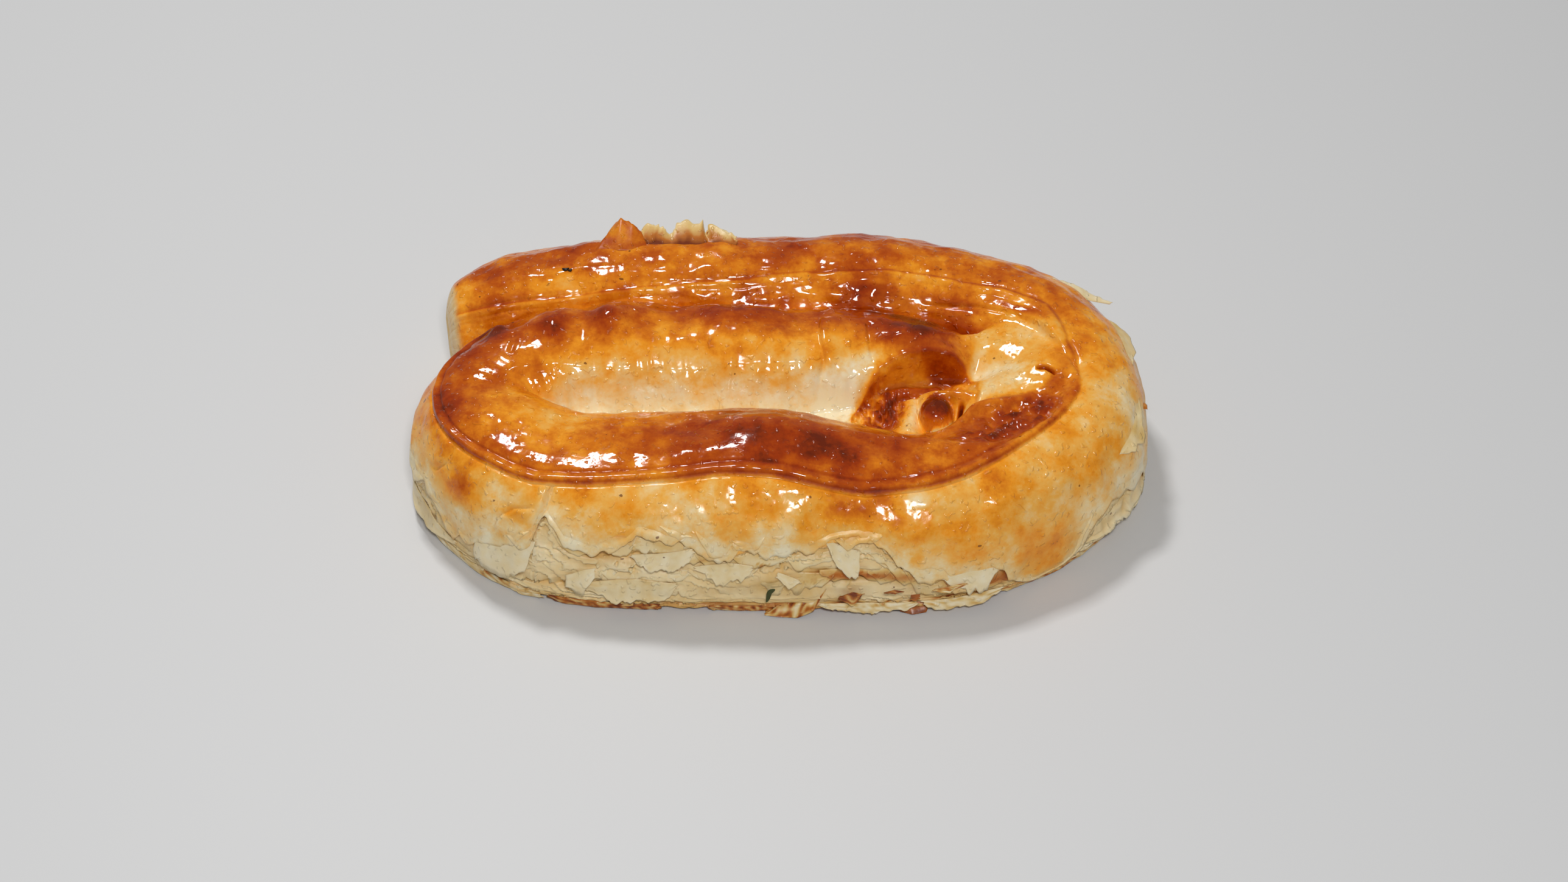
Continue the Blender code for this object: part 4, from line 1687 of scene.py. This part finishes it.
    def wrinkle_pocket(self, points: Array, z: Array, tone: Array) -> tuple[Array, Array]:
        """Sinks and wrinkles the dark pocket beside the lip.

        Args:
            points: The bed's points.
            z: Heights so far.
            tone: Tones so far.

        Returns:
            New heights and tones.
        """
        inside = self.pocket.weight(points)
        grid = np.column_stack([*self.pocket.offsets(points), np.zeros(len(z))])
        wrinkles = 1.1 * GRAIN.read(grid, (4.2, 3.0, 1), 23) + 0.9 * GRAIN.read(grid, (1.7, 1.9, 1), 30)
        z = z - inside * (1.5 - 0.9 * wrinkles)
        return z, mix(tone, 0.86 + 0.16 * wrinkles, inside)


def make_room(mesh: bpy.types.Mesh, bed: Cover, gap: float = 0.7, underside: float = 14.0) -> None:
    """Lowers the roll's skin wherever the bed covers it.

    Args:
        mesh: A stretch of the roll.
        bed: The bed's surface.
        gap: Distance that the skin keeps below the bed.
        underside: Points lower than this stay.
    """
    points = read_points(mesh) / MM - CENTRING
    covered = (points[:, 2] > underside) & (bed_mask(points) > 0.5)
    over, _ = look_down(points[covered], [bed], 0.0)
    room = np.interp(bed_mask(points[covered]), (0.5, 0.95), (0.0, gap))
    lowered = np.minimum(points[covered, 2], over - room)
    points[covered, 2] = np.where(over > 0, lowered, points[covered, 2])
    write_points(mesh, points)
    mesh.update()


def thicken(shape: bmesh.types.BMesh, points: Array, thickness: Array) -> None:
    """Turns a flat grid into a thin closed sheet through the given points.

    Args:
        shape: The grid, changed in place.
        points: Upper points in millimetres from the coil's measuring point.
        thickness: Way from the under side to the upper side at each point, in millimetres.
    """
    for vertex, point in zip(shape.verts, placed(points)):
        vertex.co = point
    under = bmesh.ops.duplicate(shape, geom=shape.faces[:] + shape.verts[:] + shape.edges[:])
    lower = [item for item in under["geom"] if isinstance(item, bmesh.types.BMVert)]
    for vertex, way in zip(lower, thickness):
        vertex.co -= Vector(way) * MM
    bmesh.ops.bridge_loops(shape, edges=[edge for edge in shape.edges if edge.is_boundary])
    bmesh.ops.recalc_face_normals(shape, faces=shape.faces)


def join_sheets(
    piece: Piece, sheets: list[tuple[bmesh.types.BMesh, Array, float]], gloss: float
) -> bpy.types.Mesh:
    """Joins thin sheets into one mesh.

    Args:
        piece: The piece that they become.
        sheets: Each sheet, the tone of its points and how bare its dough is.
        gloss: How shiny they are.

    Returns:
        The joined mesh with its attributes.
    """
    whole = bmesh.new()
    for sheet, _, _ in sheets:
        part = as_mesh(sheet, "sheet")
        whole.from_mesh(part)
        bpy.data.meshes.remove(part)
    mesh = as_mesh(whole, piece.value)
    tone = np.concatenate([tones for _, tones, _ in sheets])
    bare = np.concatenate([np.full(len(tones), share) for _, tones, share in sheets])
    store(mesh, tone=tone, torn=bare, gloss=np.full(len(tone), gloss))
    return mesh


@dataclass(frozen=True)
class Row:
    """One row of hanging sheets: where it starts and how it hangs."""

    from_edge: bool
    top: float
    drop: float
    depth: float
    lift: float
    bare: float
    longest: float = 30.0


@dataclass
class TornSheets:
    """Thin sheets of dough that hang down the outer side like shingles, with ragged lower edges."""

    relief: DoughRelief
    browning_and_shade: BrowningAndShade
    rows: tuple[Row, ...] = (
        Row(True, 7.0, 9.0, 0.0, 0.28, 0.15, 44.0),
        Row(True, -3.0, 9.0, -0.8, 0.1, 1.0, 26.0),
        Row(False, 10.0, 8.0, -1.2, 0.3, 1.0, 26.0),
        Row(False, -6.0, 9.0, -1.3, 0.3, 1.0, 22.0),
        Row(False, -20.0, 13.0, -1.2, 1.1, 0.8, 24.0),
    )
    last_run: float = 376.0
    shortest: float = 7.0
    face_length: float = 0.45
    thickness: float = 0.22
    gloss: float = 0.3
    seed: int = 11

    def build(self) -> bpy.types.Mesh:
        """Makes all the sheets as one mesh.

        Returns:
            The joined mesh with its attributes.
        """
        draw = np.random.default_rng(self.seed)
        sheets = []
        for row in self.rows:
            run = draw.uniform(2, 8)
            while run < self.last_run:
                span = draw.uniform(self.shortest, row.longest)
                sheets.append((*self.sheet(run, span, row, draw), row.bare))
                run += span * draw.uniform(0.6, 1.0)
        return join_sheets(Piece.SHEETS, sheets, self.gloss)

    def sheet(
        self, run: float, span: float, row: Row, draw: np.random.Generator
    ) -> tuple[bmesh.types.BMesh, Array]:
        """One hanging sheet.

        Args:
            run: Where it starts along the roll.
            span: Its length.
            row: The row it belongs to.
            draw: Source of chance.

        Returns:
            The sheet and the tone of each of its points.
        """
        shape = grid_mesh(max(10, int(span / self.face_length)), 7)
        flat = np.array([v.co for v in shape.verts])
        chance = draw.uniform(0, 400)
        place = run + span * flat[:, 0]
        inside = np.clip(place, 0.4, self.last_run)
        tear = 1 + 0.35 * jagged(place, 6.1, chance) + 0.3 * jagged(place, 2.3, chance + 1)
        tear += 0.16 * jagged(place, 0.9, chance + 2)
        ends = np.clip(np.minimum(flat[:, 0], 1 - flat[:, 0]) * span / 3.0, 0.05, 1) ** 0.6
        reach = row.drop * np.clip(tear, 0.15, 2.2) * ends
        hang = flat[:, 1]
        edge = read_table(self.relief.torn_edge, inside)
        top = edge + row.top if row.from_edge else np.minimum(edge + 2, row.top)
        top = top + draw.uniform(-3, 3) + 2 * line_noise(place, 12.0, chance + 3)
        degrees = top - reach * hang
        points, skin, _ = self.relief.displaced(inside, degrees, torn=False)
        curl = 1 + 0.9 * line_noise(place, 5.0, chance + 4)
        start = -0.3 if row.from_edge and row.top > 0 else row.depth - 0.5
        off = start + (row.depth + row.lift * curl - start) * np.clip(hang * 1.4, 0, 1) ** 1.2
        points = points + skin * off[:, None]
        darker_spots = hill(hang, 1.0, 0.15) * rise(line_noise(place, 4.0, chance + 5), 0.3, 0.1)
        if row.bare > 0.5:
            tone = self.browning_and_shade.bare(self.relief, inside, degrees) + 0.3 * darker_spots
            tone = tone + 0.10 * line_noise(place, 6.0, chance + 7) - 0.08
        else:
            seam = self.relief.route.at(inside)[:, 5]
            tone = self.browning_and_shade.read(points, inside, degrees, seam, np.zeros(len(points))) + 0.15 * darker_spots
        tone = np.clip(tone, 0, 1)
        points[:, 2] = np.maximum(points[:, 2], SHEET_GAP - CENTRING[2])
        thicken(shape, points, skin * self.thickness)
        return shape, np.concatenate([tone, tone])


@dataclass(frozen=True)
class Flake:
    """One loose flake between two bent lines.

    The lines' corners are run, degrees and height off the skin where the flake lies on the roll, or
    else places in millimetres from the coil's measuring point.
    """

    upper: tuple[tuple[float, float, float], ...]
    lower: tuple[tuple[float, float, float], ...]
    on_roll: bool = True
    tone: float = 0.1
    bare: float = 1.0
    ragged: float = 0.5
    curl: float = 0.5
    stripes: float = 0.0
    base: float = 0.12


@dataclass
class LooseFlakes:
    """Larger flakes and curls, each at its own place."""

    relief: DoughRelief
    flakes: tuple[Flake, ...] = (
        Flake(((329.5, 25, -0.2), (333, 22, -0.2), (337, 17, -0.2), (340.6, 13, -0.2)),
              ((331, 4, 1.0), (334, -1, 1.3), (338, -1, 1.2), (341, 1, 0.8)), tone=0.10, ragged=0.35),
        Flake(((319.0, 12, -0.3), (321.2, 11, 0.0), (324.6, 6, -0.2)),
              ((318.8, 7, 0.8), (321.3, 0, 1.3), (324.8, 0, 0.8)), tone=0.05, ragged=0.4),
        Flake(((257.4, 26, -0.2), (260, 28, 0.2), (264.9, 33, -0.2)),
              ((257.6, 12, 1.2), (260.0, 10, 1.6), (262.5, 18, 1.0)), tone=0.14, ragged=0.4),
        Flake(((270.4, 7, -0.4), (273, 9, -0.3), (276.0, 11, -0.5)),
              ((270.2, 4, 0.6), (273, 4, 0.9), (276.2, 6, 0.7)), tone=0.14, ragged=1.2),
        Flake(((229, 10, -0.6), (234, 11, -0.6), (239, 10, -0.6)),
              ((229, 0, 1.2), (234, 0, 1.6), (239, 1, 1.0)), tone=0.10, ragged=1.0),
        Flake(((296, 26, -0.6), (302, 24, -0.5), (311, 22, -0.6)),
              ((296, 17, 0.5), (303, 15, 0.9), (311, 16, 0.5)), tone=0.12, ragged=1.2),
        Flake(((282, 15, -0.6), (288, 17, -0.5), (296, 15, -0.6)),
              ((282, 9, 0.5), (289, 7, 0.9), (296, 10, 0.5)), tone=0.18, ragged=1.2),
        Flake(((300, 4, -0.6), (310, 6, -0.5), (322, 2, -0.6)),
              ((300, -3, 0.5), (311, -4, 1.0), (322, -4, 0.5)), tone=0.20, ragged=1.3),
        Flake(((346, -2, -0.6), (352, 0, -0.5), (361, 2, -0.6)),
              ((346, -9, 0.5), (352, -10, 1.0), (361, -8, 0.5)), tone=0.16, ragged=1.2),
        Flake(((353, 22, -0.3), (358, 21, -0.2), (363, 18, -0.3)),
              ((353, 13, 0.5), (358, 10, 0.9), (363, 10, 0.5)), tone=0.20, ragged=1.2),
        Flake(((244, -7, 0.2), (254, -7, 0.4), (266, -7, 0.2)),
              ((244, -17, 1.4), (254, -19, 2.0), (266, -17, 1.4)), tone=0.22, ragged=1.2, stripes=0.3),
        Flake(((228, -7, 0.2), (236, -7, 0.4), (243, -7, 0.2)),
              ((228, -16, 1.4), (236, -18, 2.0), (243, -17, 1.4)), tone=0.18, ragged=1.2, stripes=0.3),
        Flake(((304, -22, -0.4), (316, -23, -0.4), (328, -22, -0.4)),
              ((304, -44, 1.6), (316, -48, 2.6), (328, -44, 1.6)), tone=0.70, ragged=1.2, stripes=0.4),
        Flake(((329, -22, -0.4), (338, -23, -0.4), (352, -22, -0.4)),
              ((329, -44, 1.6), (338, -48, 2.8), (352, -44, 1.4)), tone=0.30, ragged=1.2, stripes=0.4),
        Flake(((274, -26, -0.4), (283, -27, -0.4), (293, -26, -0.4)),
              ((274, -46, 1.6), (283, -50, 2.6), (293, -46, 1.6)), tone=0.62, ragged=1.2, stripes=0.4),
        Flake(((232, -25, -0.4), (246, -26, -0.4), (260, -25, -0.4)),
              ((232, -44, 1.4), (246, -46, 2.4), (260, -44, 1.4)), tone=0.34, ragged=1.2, stripes=0.3),
        Flake(((200, -24, -0.4), (214, -26, -0.4), (228, -26, -0.4)),
              ((200, -44, 1.4), (214, -46, 2.4), (228, -44, 1.4)), tone=0.5, ragged=1.2, stripes=0.4),
        Flake(((170, 52, -0.3), (175, 50, -0.3), (181, 48, -0.3)),
              ((170, 42, 0.6), (175, 38, 1.4), (181, 42, 0.7)), tone=0.34, ragged=1.3),
        Flake(((187, 46, -0.3), (193, 42, -0.3), (199, 38, -0.3)),
              ((187, 38, 0.6), (193, 32, 1.3), (199, 32, 0.6)), tone=0.34, ragged=1.3),
        Flake(((256.5, 1, 1.4), (259, 2, 1.4), (261.5, 0, 1.4)),
              ((256.5, -3, 2.0), (259, -5, 2.2), (261.5, -3, 2.0)), tone=0.78, ragged=1.6, stripes=0.4),
        Flake(((247.5, 2, 1.4), (249, 3, 1.4), (251.0, 1, 1.4)),
              ((247.5, -1, 2.0), (249, -3, 2.2), (251.0, -2, 2.0)), tone=0.80, ragged=1.6, stripes=0.3),
        Flake(((243.6, 0, 1.4), (245.6, 0, 1.4)), ((243.8, -3, 2.0), (245.4, -3, 2.0)),
              tone=0.84, ragged=1.2),
        Flake(((235, 3, 1.2), (238, 3, 1.2), (241, 2, 1.2)),
              ((235, 0, 1.6), (238, 0, 1.8), (241, 0, 1.6)), tone=0.50, ragged=1.2, stripes=0.5),
        Flake(((-44.0, 45.2, 38.0), (-42.0, 45.8, 39.6), (-38.7, 45.0, 39.2), (-36.8, 44.0, 37.6)),
              ((-48.5, 38.0, 35.9), (-42.5, 37.0, 36.4), (-39.0, 37.0, 36.4), (-34.5, 38.0, 35.9)),
              on_roll=False, tone=0.60, bare=0.0, ragged=0.5, curl=0.7, base=0.05),
        Flake(((-37.4, 44.2, 37.8), (-35.0, 44.7, 38.5), (-32.0, 44.6, 38.3), (-30.0, 44.7, 38.5),
               (-28.6, 43.8, 37.1), (-27.2, 44.9, 37.9), (-24.0, 45.8, 38.7), (-20.6, 46.0, 38.6),
               (-19.8, 43.8, 36.4), (-18.6, 44.6, 37.4), (-15.0, 45.2, 37.9), (-12.4, 44.9, 37.8)),
              ((-37.6, 39.0, 35.8), (-30.0, 39.0, 35.8), (-20.0, 39.0, 35.6), (-11.0, 39.0, 35.4)),
              on_roll=False, tone=0.34, ragged=0.9, base=0.8),
        Flake(((-27.6, 44.4, 37.4), (-26.4, 44.8, 37.8), (-25.4, 44.6, 37.4)),
              ((-27.8, 42.6, 35.4), (-26.4, 42.4, 35.5), (-25.0, 42.2, 35.4)), on_roll=False, tone=0.95),
        Flake(((-19.4, 44.0, 36.9), (-18.4, 44.3, 37.3), (-17.4, 44.0, 36.8)),
              ((-19.4, 42.6, 35.4), (-18.4, 42.2, 35.5), (-17.4, 42.2, 35.4)), on_roll=False, tone=0.9),
        Flake(((70.0, 31.0, 32.4), (76.0, 30.2, 30.8), (81.0, 28.8, 29.4), (86.4, 27.2, 27.4)),
              ((71.0, 26.0, 32.6), (76.5, 25.0, 31.2), (80.0, 25.4, 29.6), (85.4, 26.6, 27.2)),
              on_roll=False, tone=0.16, ragged=0.6),
        Flake(((85.6, -4.4, 26.4), (89.0, -4.6, 25.4), (92.6, -6.4, 23.6)),
              ((87.4, -7.8, 25.0), (90.0, -8.6, 24.2), (92.8, -8.0, 23.2)),
              on_roll=False, tone=0.66, ragged=0.4),
        Flake(((88.4, 4.6, 25.0), (90.4, 5.0, 25.0)), ((89.0, -0.6, 24.6), (91.4, -0.2, 24.2)),
              on_roll=False, tone=0.66, ragged=0.3),
        Flake(((-3.6, -56.0, 1.0), (0.0, -55.0, 3.0), (4.0, -54.4, 4.6), (8.0, -54.4, 6.2),
               (10.9, -55.6, 9.4)),
              ((-4.0, -57.6, 0.9), (0.0, -58.4, 0.8), (4.0, -58.8, 0.9), (8.0, -57.4, 2.2),
               (10.9, -56.2, 8.4)),
              on_roll=False, tone=0.58, ragged=0.8, curl=0.8, stripes=0.5),
        Flake(((29.0, -54.0, 3.0), (32.0, -54.4, 2.8), (36.0, -54.0, 2.6)),
              ((29.4, -56.4, 1.0), (32.5, -57.4, 0.9), (36.0, -56.6, 1.0)),
              on_roll=False, tone=0.8, ragged=0.6),
    )
    face_length: float = 0.3
    thickness: float = 0.16
    gloss: float = 0.4
    skin_away: tuple[float, float, float] = (0.1, -0.55, 0.8)

    def build(self) -> bpy.types.Mesh:
        """Makes all the flakes as one mesh.

        Returns:
            The joined mesh with its attributes.
        """
        sheets = [
            (*self.sheet(flake, 500.0 + 7 * number), flake.bare) for number, flake in enumerate(self.flakes)
        ]
        return join_sheets(Piece.FLAKES, sheets, self.gloss)

    def sheet(self, flake: Flake, chance: float) -> tuple[bmesh.types.BMesh, Array]:
        """One flake.

        Args:
            flake: Its lines and looks.
            chance: Chooses its ragged edges.

        Returns:
            The flake and the tone of each of its points.
        """
        lines = [np.array(line, float) for line in (flake.upper, flake.lower)]
        width = np.ptp(lines[0][:, 0])
        shape = grid_mesh(max(16, int(width / self.face_length)), 14)
        flat = np.array([v.co for v in shape.verts])
        share, hang = flat[:, 0], flat[:, 1]
        ends = [
            np.column_stack([np.interp(share, np.linspace(0, 1, len(line)), column) for column in line.T])
            for line in lines
        ]
        place = share * width
        tear = 0.5 * jagged(place, 2.9, chance) + 0.34 * jagged(place, 1.1, chance + 1)
        tear += 0.18 * jagged(place, 0.5, chance + 2)
        free = hang if flake.on_roll else 1 - hang
        pointed = 0.8 * max(flake.ragged - 0.6, 0)
        point = np.clip(np.minimum(share, 1 - share) * width / 3.0, 0.12, 1) ** pointed
        reach = free * (1 + 0.45 * flake.ragged * tear * free) * point
        start, end = (ends if flake.on_roll else ends[::-1])
        points = start + (end - start) * reach[:, None]
        points[:, 0] += 0.4 * flake.ragged * jagged(free * 9, 1.7, chance + 3) * (2 * share - 1)
        if flake.on_roll:
            run, degrees, off = points.T
            points, skin, _ = self.relief.displaced(run, degrees, torn=False)
            bulge = off + flake.curl * hill(free, 0.75, 0.3) * line_noise(place, 4.0, chance + 4)
            dents = np.column_stack([place, degrees * MM_PER_DEGREE, off])
            bulge += 0.25 * GRAIN.read(dents, (2.2, 1.4, 9.0), 41) * free
            points = points + skin * bulge[:, None]
        else:
            skin = np.tile(np.array(self.skin_away), (len(points), 1))
            waves = line_noise(place, 3.0, chance + 4) * free
            points = points + skin * (flake.curl * (waves + 0.5 * np.sin(free * math.pi)))[:, None]
        points[:, 2] = np.maximum(points[:, 2], SHEET_GAP - CENTRING[2])
        tone = flake.tone + 0.12 * line_noise(place, 3.0, chance + 5) + 0.06 * tear + flake.base * (1 - free)
        tone += 0.10 * GRAIN.read(np.column_stack([place, 6 * hang, share]), 1.6, 40)
        blots = np.column_stack([place + 2 * hang, 2.5 * hang, np.full(len(place), chance)])
        tone += 1.4 * flake.stripes * GRAIN.read(blots, (1.5, 0.9, 1), 42)
        thicken(shape, points, skin * self.thickness)
        return shape, np.clip(np.concatenate([tone, tone]), 0, 1)


@dataclass(frozen=True)
class FleckFinish:
    """Dark green herb and black burnt crumbs."""

    name: str = "dark_fleck"
    scale: tuple[ColourStep, ...] = (ColourStep(0.0, srgb(58, 66, 18)), ColourStep(1.0, srgb(22, 12, 8)))

    def build(self) -> bpy.types.Material:
        """Makes the material.

        Returns:
            The material, which reads the attribute tone of its piece.
        """
        kit = NodeKit(self.name)
        kit.surface(kit.ramp(kit.attribute("tone"), self.scale), 0.35, None)
        return kit.material


@dataclass
class DarkFlecks:
    """The herb leaf at the base and a few burnt crumbs.

    The table's rows are run, degrees, height off the skin, half length, half width, turn and tone.
    """

    relief: DoughRelief
    flecks: tuple[tuple[float, ...], ...] = (
        (277.8, 0.9, 2.0, 1.4, 0.5, 35.0, 0.0),
        (32.2, 98.5, 0.15, 1.0, 0.55, -10.0, 1.0),
        (33.5, 100.0, 0.15, 0.6, 0.4, 30.0, 1.0),
    )

    def build(self) -> bpy.types.Mesh:
        """Makes the flecks as one mesh of small domes.

        Returns:
            The mesh with its attribute.
        """
        whole = bmesh.new()
        tones = []
        for run, degrees, off, long, wide, turn, tone in self.flecks:
            before = len(whole.verts)
            bmesh.ops.create_icosphere(whole, subdivisions=3, radius=1.0)
            whole.verts.ensure_lookup_table()
            new = [whole.verts[index] for index in range(before, len(whole.verts))]
            ball = np.array([v.co for v in new])
            angle = math.radians(turn)
            bent = ball[:, 1] * wide - 0.9 * wide * (ball[:, 0] ** 2)
            along = ball[:, 0] * long * math.cos(angle) - bent * math.sin(angle)
            across = ball[:, 0] * long * math.sin(angle) + bent * math.cos(angle)
            points, skin, _ = self.relief.displaced(run - along, degrees + across / MM_PER_DEGREE)
            points = points + skin * (0.35 * ball[:, 2] + off)[:, None]
            for vertex, point in zip(new, placed(points)):
                vertex.co = point
            tones.append(np.full(len(new), tone))
        bmesh.ops.recalc_face_normals(whole, faces=whole.faces)
        mesh = as_mesh(whole, Piece.FLECKS.value)
        store(mesh, tone=np.concatenate(tones))
        return mesh


@dataclass(frozen=True)
class FloorFinish:
    """Plain pale floor."""

    colour: tuple[float, float, float, float] = srgb(214, 214, 214)
    roughness: float = 0.55

    def build(self) -> bpy.types.Material:
        """Makes the material.

        Returns:
            The material.
        """
        kit = NodeKit("pale_floor")
        kit.join(self.colour, kit.shader.inputs["Base Color"])
        kit.join(self.roughness, kit.shader.inputs["Roughness"])
        return kit.material


@dataclass
class Studio:
    """Floor, soft lights and camera."""

    target: tuple[float, float, float] = (0.0009, -0.0090, 0.0140)
    distance: float = 0.75
    elevation: float = 45.6
    lens: float = 67.68
    sensor: float = 36.0
    view_range: tuple[float, float] = (0.01, 20.0)
    floor_size: float = 6.0
    aim: tuple[float, float, float] = (0.0, 0.0, 0.02)
    sky: float = 0.2
    lamps: tuple[tuple, ...] = (
        ("back_box", (-0.22, 0.42, 0.90), (0.17, 0.13), 4.4),
        ("front_box", (0.06, -0.66, 0.86), (0.17, 0.12), 4.8),
    )

    def floor(self) -> None:
        """Lays the pale floor."""
        shape = bmesh.new()
        bmesh.ops.create_grid(shape, x_segments=1, y_segments=1, size=self.floor_size / 2)
        mesh = as_mesh(shape, "floor")
        mesh.materials.append(FloorFinish().build())
        floor = bpy.data.objects.new("floor", mesh)
        bpy.context.scene.collection.objects.link(floor)

    def light(
        self, name: str, place: tuple[float, float, float], size: tuple[float, float], power: float
    ) -> None:
        """Hangs one soft light that faces the pastry.

        Args:
            name: The light's name.
            place: Where it hangs, in metres.
            size: Width and height in metres.
            power: Watts.
        """
        data = bpy.data.lights.new(name, "AREA")
        data.shape, data.size, data.size_y, data.energy = "RECTANGLE", *size, power
        lamp = bpy.data.objects.new(name, data)
        lamp.location = place
        lamp.rotation_euler = (Vector(self.aim) - Vector(place)).to_track_quat("-Z", "Y").to_euler()
        bpy.context.scene.collection.objects.link(lamp)

    def build(self) -> None:
        """Sets up the whole studio."""
        self.floor()
        for lamp in self.lamps:
            self.light(*lamp)
        world = bpy.data.worlds.new("studio")
        world.use_nodes = True
        background = world.node_tree.nodes["Background"]
        background.inputs["Color"].default_value = (1.0, 1.0, 1.0, 1.0)
        background.inputs["Strength"].default_value = self.sky
        scene = bpy.context.scene
        scene.world = world
        scene.view_settings.view_transform = "Standard"
        data = bpy.data.cameras.new("camera")
        data.lens, data.sensor_width = self.lens, self.sensor
        data.clip_start, data.clip_end = self.view_range
        camera = bpy.data.objects.new("camera", data)
        angle = math.radians(self.elevation)
        back = Vector((0, -math.cos(angle), math.sin(angle)))
        camera.location = Vector(self.target) + back * self.distance
        camera.rotation_euler = (math.pi / 2 - angle, 0, 0)
        scene.collection.objects.link(camera)
        scene.camera = camera


def main() -> None:
    """Builds and dresses the pastry."""
    logging.basicConfig(level=logging.INFO, format="%(message)s")
    route = RollRoute()
    relief, browning_and_shade = DoughRelief(route), BrowningAndShade()
    crust = CrustFinish().build()
    skin = RollSkin(relief, browning_and_shade)
    stretches = {stretch.piece: skin.build(stretch) for stretch in STRETCHES}
    covers = [Cover.of(mesh) for mesh in stretches.values()]
    bed, filling = InnerBed(relief).build(covers), InnerBed(relief).build_filling(covers)
    bed_cover = Cover.of(bed)
    for piece, mesh in stretches.items():
        make_room(mesh, bed_cover)
        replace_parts(show(piece, mesh, crust), "coiled_pastry")
    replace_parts(show(Piece.BED, bed, crust), "coiled_pastry")
    soft = CrustFinish("baked_filling", gloss=0.12).build()
    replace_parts(show(Piece.FILLING, filling, soft), "filling")
    sheets, flakes = TornSheets(relief, browning_and_shade).build(), LooseFlakes(relief).build()
    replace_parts(show(Piece.SHEETS, sheets, crust), "coiled_pastry")
    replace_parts(show(Piece.FLAKES, flakes, crust), "coiled_pastry")
    flecks, fleck = DarkFlecks(relief).build(), FleckFinish().build()
    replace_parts(show(Piece.FLECKS, flecks, fleck), "coiled_pastry")
    Studio().build()


if __name__ == "__main__":
    main()
